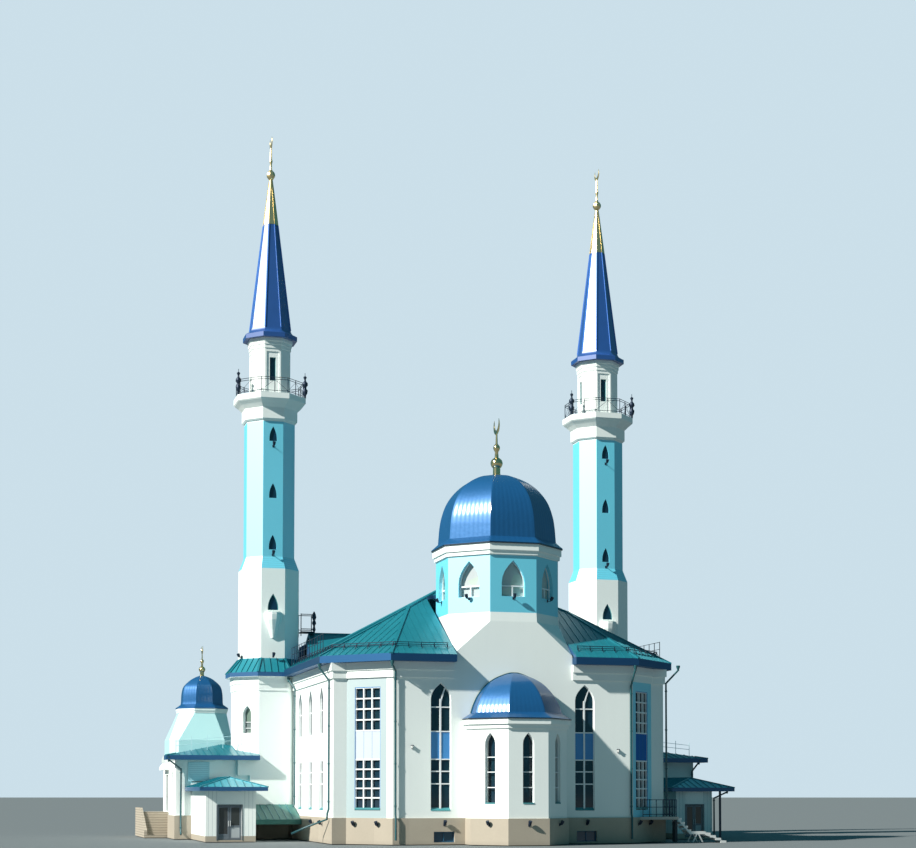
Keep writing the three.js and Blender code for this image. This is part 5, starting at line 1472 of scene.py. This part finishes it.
LEAVES = (
    ("left_porch_west_leaf", -16.51, -15.785, False), ("left_porch_east_leaf", -15.765, -15.04, True),
    ("right_porch_west_leaf", 14.65, 15.245, False), ("right_porch_east_leaf", 15.265, 15.86, True),
)
DOORWAYS = ((-16.53, -15.02), (14.63, 15.88))
PORCH_FACE = 8.6
LEAF_FACE = 8.72
LEAF_Z = (0.13, 2.22)
SIDE_DOOR_X = (-17.77, -17.74)
SIDE_DOOR_LEAVES = ((24.62, 25.39), (25.41, 26.18))
SIDE_DOOR_Z = (1.73, 1.85, 2.7, 2.82, 4.18, 4.28)


def door_leaf(x0, x1, panelled):
    """A glazed leaf's front: frame bars, glass, panel under the middle rail, and a bar handle."""
    stile, face, back = 0.1, LEAF_FACE - 0.02, LEAF_FACE
    z0, z1 = LEAF_Z
    rail = 0.95 if panelled else 0.42
    frame_bars = boxes([[x0, x0 + stile, face, back, z0, z1], [x1 - stile, x1, face, back, z0, z1],
                        [x0 + stile, x1 - stile, face, back, z1 - stile, z1],
                        [x0 + stile, x1 - stile, face, back, z0, z0 + 0.12],
                        [x0 + stile, x1 - stile, face, back, rail - 0.06, rail + 0.06]])
    glass = boxes([[x0 + stile, x1 - stile, back - 0.01, back, rail + 0.06, z1 - stile]])
    panel = boxes([[x0 + stile, x1 - stile, back - 0.012, back, z0 + 0.12, rail - 0.06]])
    x = x0 + 0.05 if panelled else x1 - 0.05
    studs = boxes([[x - 0.01, x + 0.01, face - 0.06, face, z - 0.01, z + 0.01] for z in (1.0, 1.25)])
    handle = joined(tube([(x, face - 0.06, 0.95), (x, face - 0.06, 1.3)], 0.014, 8), studs)
    return frame_bars, glass, panel, handle


class MOSQUE_OT_doors(bpy.types.Operator):
    """Dress the porch leaves and the left wing's side door"""
    bl_idname = "mosque.doors"
    bl_label = "Doors"

    def execute(self, context):
        for body, x0, x1, panelled in LEAVES:
            parts = zip(("frame", "glass", "panel", "handle"), door_leaf(x0, x1, panelled),
                        ("door", "door_glass", "door_panel" if panelled else "door", "steel"))
            for key, shape, paint in parts:
                make(f"{body}_{key}", shape, paint, body=body)
        heads = []
        y0, y1 = PORCH_FACE - 0.03, PORCH_FACE
        for x0, x1 in DOORWAYS:
            heads += [[x0 - 0.06, x0, y0, y1, 0.1, 2.31], [x1, x1 + 0.06, y0, y1, 0.1, 2.31],
                      [x0, x1, y0, y1, 2.25, 2.31]]
        make("door_surrounds", boxes(heads), "door")
        x0, x1 = SIDE_DOOR_X
        foot, low, middle, rail, high, head = SIDE_DOOR_Z
        leaf = []
        for y0, y1 in SIDE_DOOR_LEAVES:
            leaf += [[x0, x1, y0, y1, foot, low], [x0, x1, y0, y1, high, head],
                     [x0, x1, y0, y0 + 0.1, low, high], [x0, x1, y1 - 0.1, y1, low, high],
                     [x0, x1, y0, y1, middle, rail]]
        make("side_door_frames", boxes(leaf), "door")
        return {"FINISHED"}


class MosqueLight(bpy.types.PropertyGroup):
    """Light and viewpoint."""
    sun: FloatProperty(name="Sun", description="Strength of the key light", default=6.9, min=0)
    azimuth: FloatProperty(name="Sun side", description="Key light's angle off the front wall, on the left",
                           default=math.radians(18), subtype="ANGLE")
    height: FloatProperty(name="Sun height", description="Key light's angle over the floor",
                          default=math.radians(34), subtype="ANGLE")
    lens: FloatProperty(name="Lens", description="Focal length", default=69.26, min=10, unit="CAMERA")


FILL = (0.045, 0.168, 0.22, 1.0)
BACKDROP = (0.6, 0.74, 0.82, 1.0)
FLOOR_COLOUR = (0.155, 0.178, 0.187)
EYE = (-15.51, -50.35, 1.5)  # in model metres
YAW, PITCH, ROLL = math.radians(15.31), math.radians(2.66), math.radians(0.037)
SHIFT_Y = 0.314
FARTHEST = 5000.0
FLOOR_REACH = 600.0
SUN_SIZE = math.radians(1.5)
SUN_COLOUR = (1.0, 0.955, 0.88)


def lay_floor(scene):
    """A wide level floor under the model."""
    low = CAD_BOX[0][2]
    corners = [(x * FLOOR_REACH, y * FLOOR_REACH, low) for x, y in ((-1, -1), (1, -1), (1, 1), (-1, 1))]
    ground = bpy.data.meshes.new("floor")
    ground.from_pydata(corners, [], [(0, 1, 2, 3)])
    ground.materials.append(plain_coat("floor_coat", FLOOR_COLOUR, 0.9, 2.0, 0.02))
    floor = bpy.data.objects.new("floor", ground)
    scene.collection.objects.link(floor)


def hang_sun(scene, light):
    """The key light: its rays run away from the side and height that the settings give."""
    sun = bpy.data.objects.new("key_light", bpy.data.lights.new("key_light", "SUN"))
    sun.data.energy, sun.data.angle, sun.data.color = light.sun, SUN_SIZE, SUN_COLOUR
    level = -math.cos(light.height)
    towards = Vector((math.cos(light.azimuth) * level, math.sin(light.azimuth) * level,
                      math.sin(light.height)))
    sun.rotation_euler = towards.to_track_quat("Z", "Y").to_euler()
    scene.collection.objects.link(sun)


def fill_world(scene):
    """A cool fill light from all sides, and a paler backdrop for the camera's own rays."""
    world = scene.world or bpy.data.worlds.new("studio")
    scene.world = world
    world.use_nodes = True
    tree = world.node_tree
    tree.nodes.clear()
    kinds = ("LightPath", "MixRGB", "Background", "OutputWorld")
    path, shade, glow, out = (tree.nodes.new("ShaderNode" + kind) for kind in kinds)
    shade.inputs[1].default_value, shade.inputs[2].default_value = FILL, BACKDROP
    tree.links.new(path.outputs["Is Camera Ray"], shade.inputs[0])
    tree.links.new(shade.outputs[0], glow.inputs[0])
    tree.links.new(glow.outputs[0], out.inputs[0])


def set_camera(scene, light):
    """The camera at EYE, looking along YAW and PITCH and turned about its axis by ROLL."""
    lens = bpy.data.cameras.new("camera")
    lens.lens, lens.shift_y, lens.clip_end = light.lens, SHIFT_Y, FARTHEST
    camera = bpy.data.objects.new("camera", lens)
    camera.location = EYE
    level = math.cos(PITCH)
    forward = Vector((math.sin(YAW) * level, math.cos(YAW) * level, math.sin(PITCH)))
    turn = forward.to_track_quat("-Z", "Y") @ Quaternion((0, 0, 1), ROLL)
    camera.rotation_euler = turn.to_euler()
    scene.collection.objects.link(camera)
    scene.camera = camera


class MOSQUE_OT_stage(bpy.types.Operator):
    """Set out the floor, the light and the camera"""
    bl_idname = "mosque.stage"
    bl_label = "Stage"

    def execute(self, context):
        scene, light = context.scene, context.scene.mosque_light
        lay_floor(scene)
        hang_sun(scene, light)
        fill_world(scene)
        set_camera(scene, light)
        scene.view_settings.view_transform = VIEW
        return {"FINISHED"}


STEPS = (
    MOSQUE_OT_finish_solids,
    MOSQUE_OT_tall_windows,
    MOSQUE_OT_corner_windows,
    MOSQUE_OT_niche_windows,
    MOSQUE_OT_main_roof_sheet,
    MOSQUE_OT_domes,
    MOSQUE_OT_spires,
    MOSQUE_OT_pipes,
    MOSQUE_OT_railings,
    MOSQUE_OT_small_roof_sheet,
    MOSQUE_OT_small_windows,
    MOSQUE_OT_lamps,
    MOSQUE_OT_doors,
    MOSQUE_OT_stage,
)


class MOSQUE_PT_panel(bpy.types.Panel):
    """The steps that dress the model, in order"""
    bl_label = "Mosque"
    bl_idname = "MOSQUE_PT_panel"
    bl_space_type = "VIEW_3D"
    bl_region_type = "UI"
    bl_category = "Mosque"

    def draw(self, context):
        for step in STEPS:
            self.layout.operator(step.bl_idname)
        scene = context.scene
        for group in (scene.mosque_sizes, scene.mosque_colours, scene.mosque_light):
            for key in group.__annotations__:
                self.layout.prop(group, key)


CLASSES = (MosqueSizes, MosqueColours, MosqueLight, *STEPS, MOSQUE_PT_panel)


def register():
    """Register the classes, and hang their settings on the scene."""
    for cls in CLASSES:
        bpy.utils.register_class(cls)
    bpy.types.Scene.mosque_sizes = PointerProperty(type=MosqueSizes)
    bpy.types.Scene.mosque_colours = PointerProperty(type=MosqueColours)
    bpy.types.Scene.mosque_light = PointerProperty(type=MosqueLight)


def unregister():
    """Take the settings and the classes away again."""
    del bpy.types.Scene.mosque_light
    del bpy.types.Scene.mosque_colours
    del bpy.types.Scene.mosque_sizes
    for cls in reversed(CLASSES):
        bpy.utils.unregister_class(cls)


def main():
    """Dress the model step by step."""
    register()
    for step in STEPS:
        group, action = step.bl_idname.split(".")
        getattr(getattr(bpy.ops, group), action)()
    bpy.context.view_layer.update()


if __name__ == "__main__":
    main()
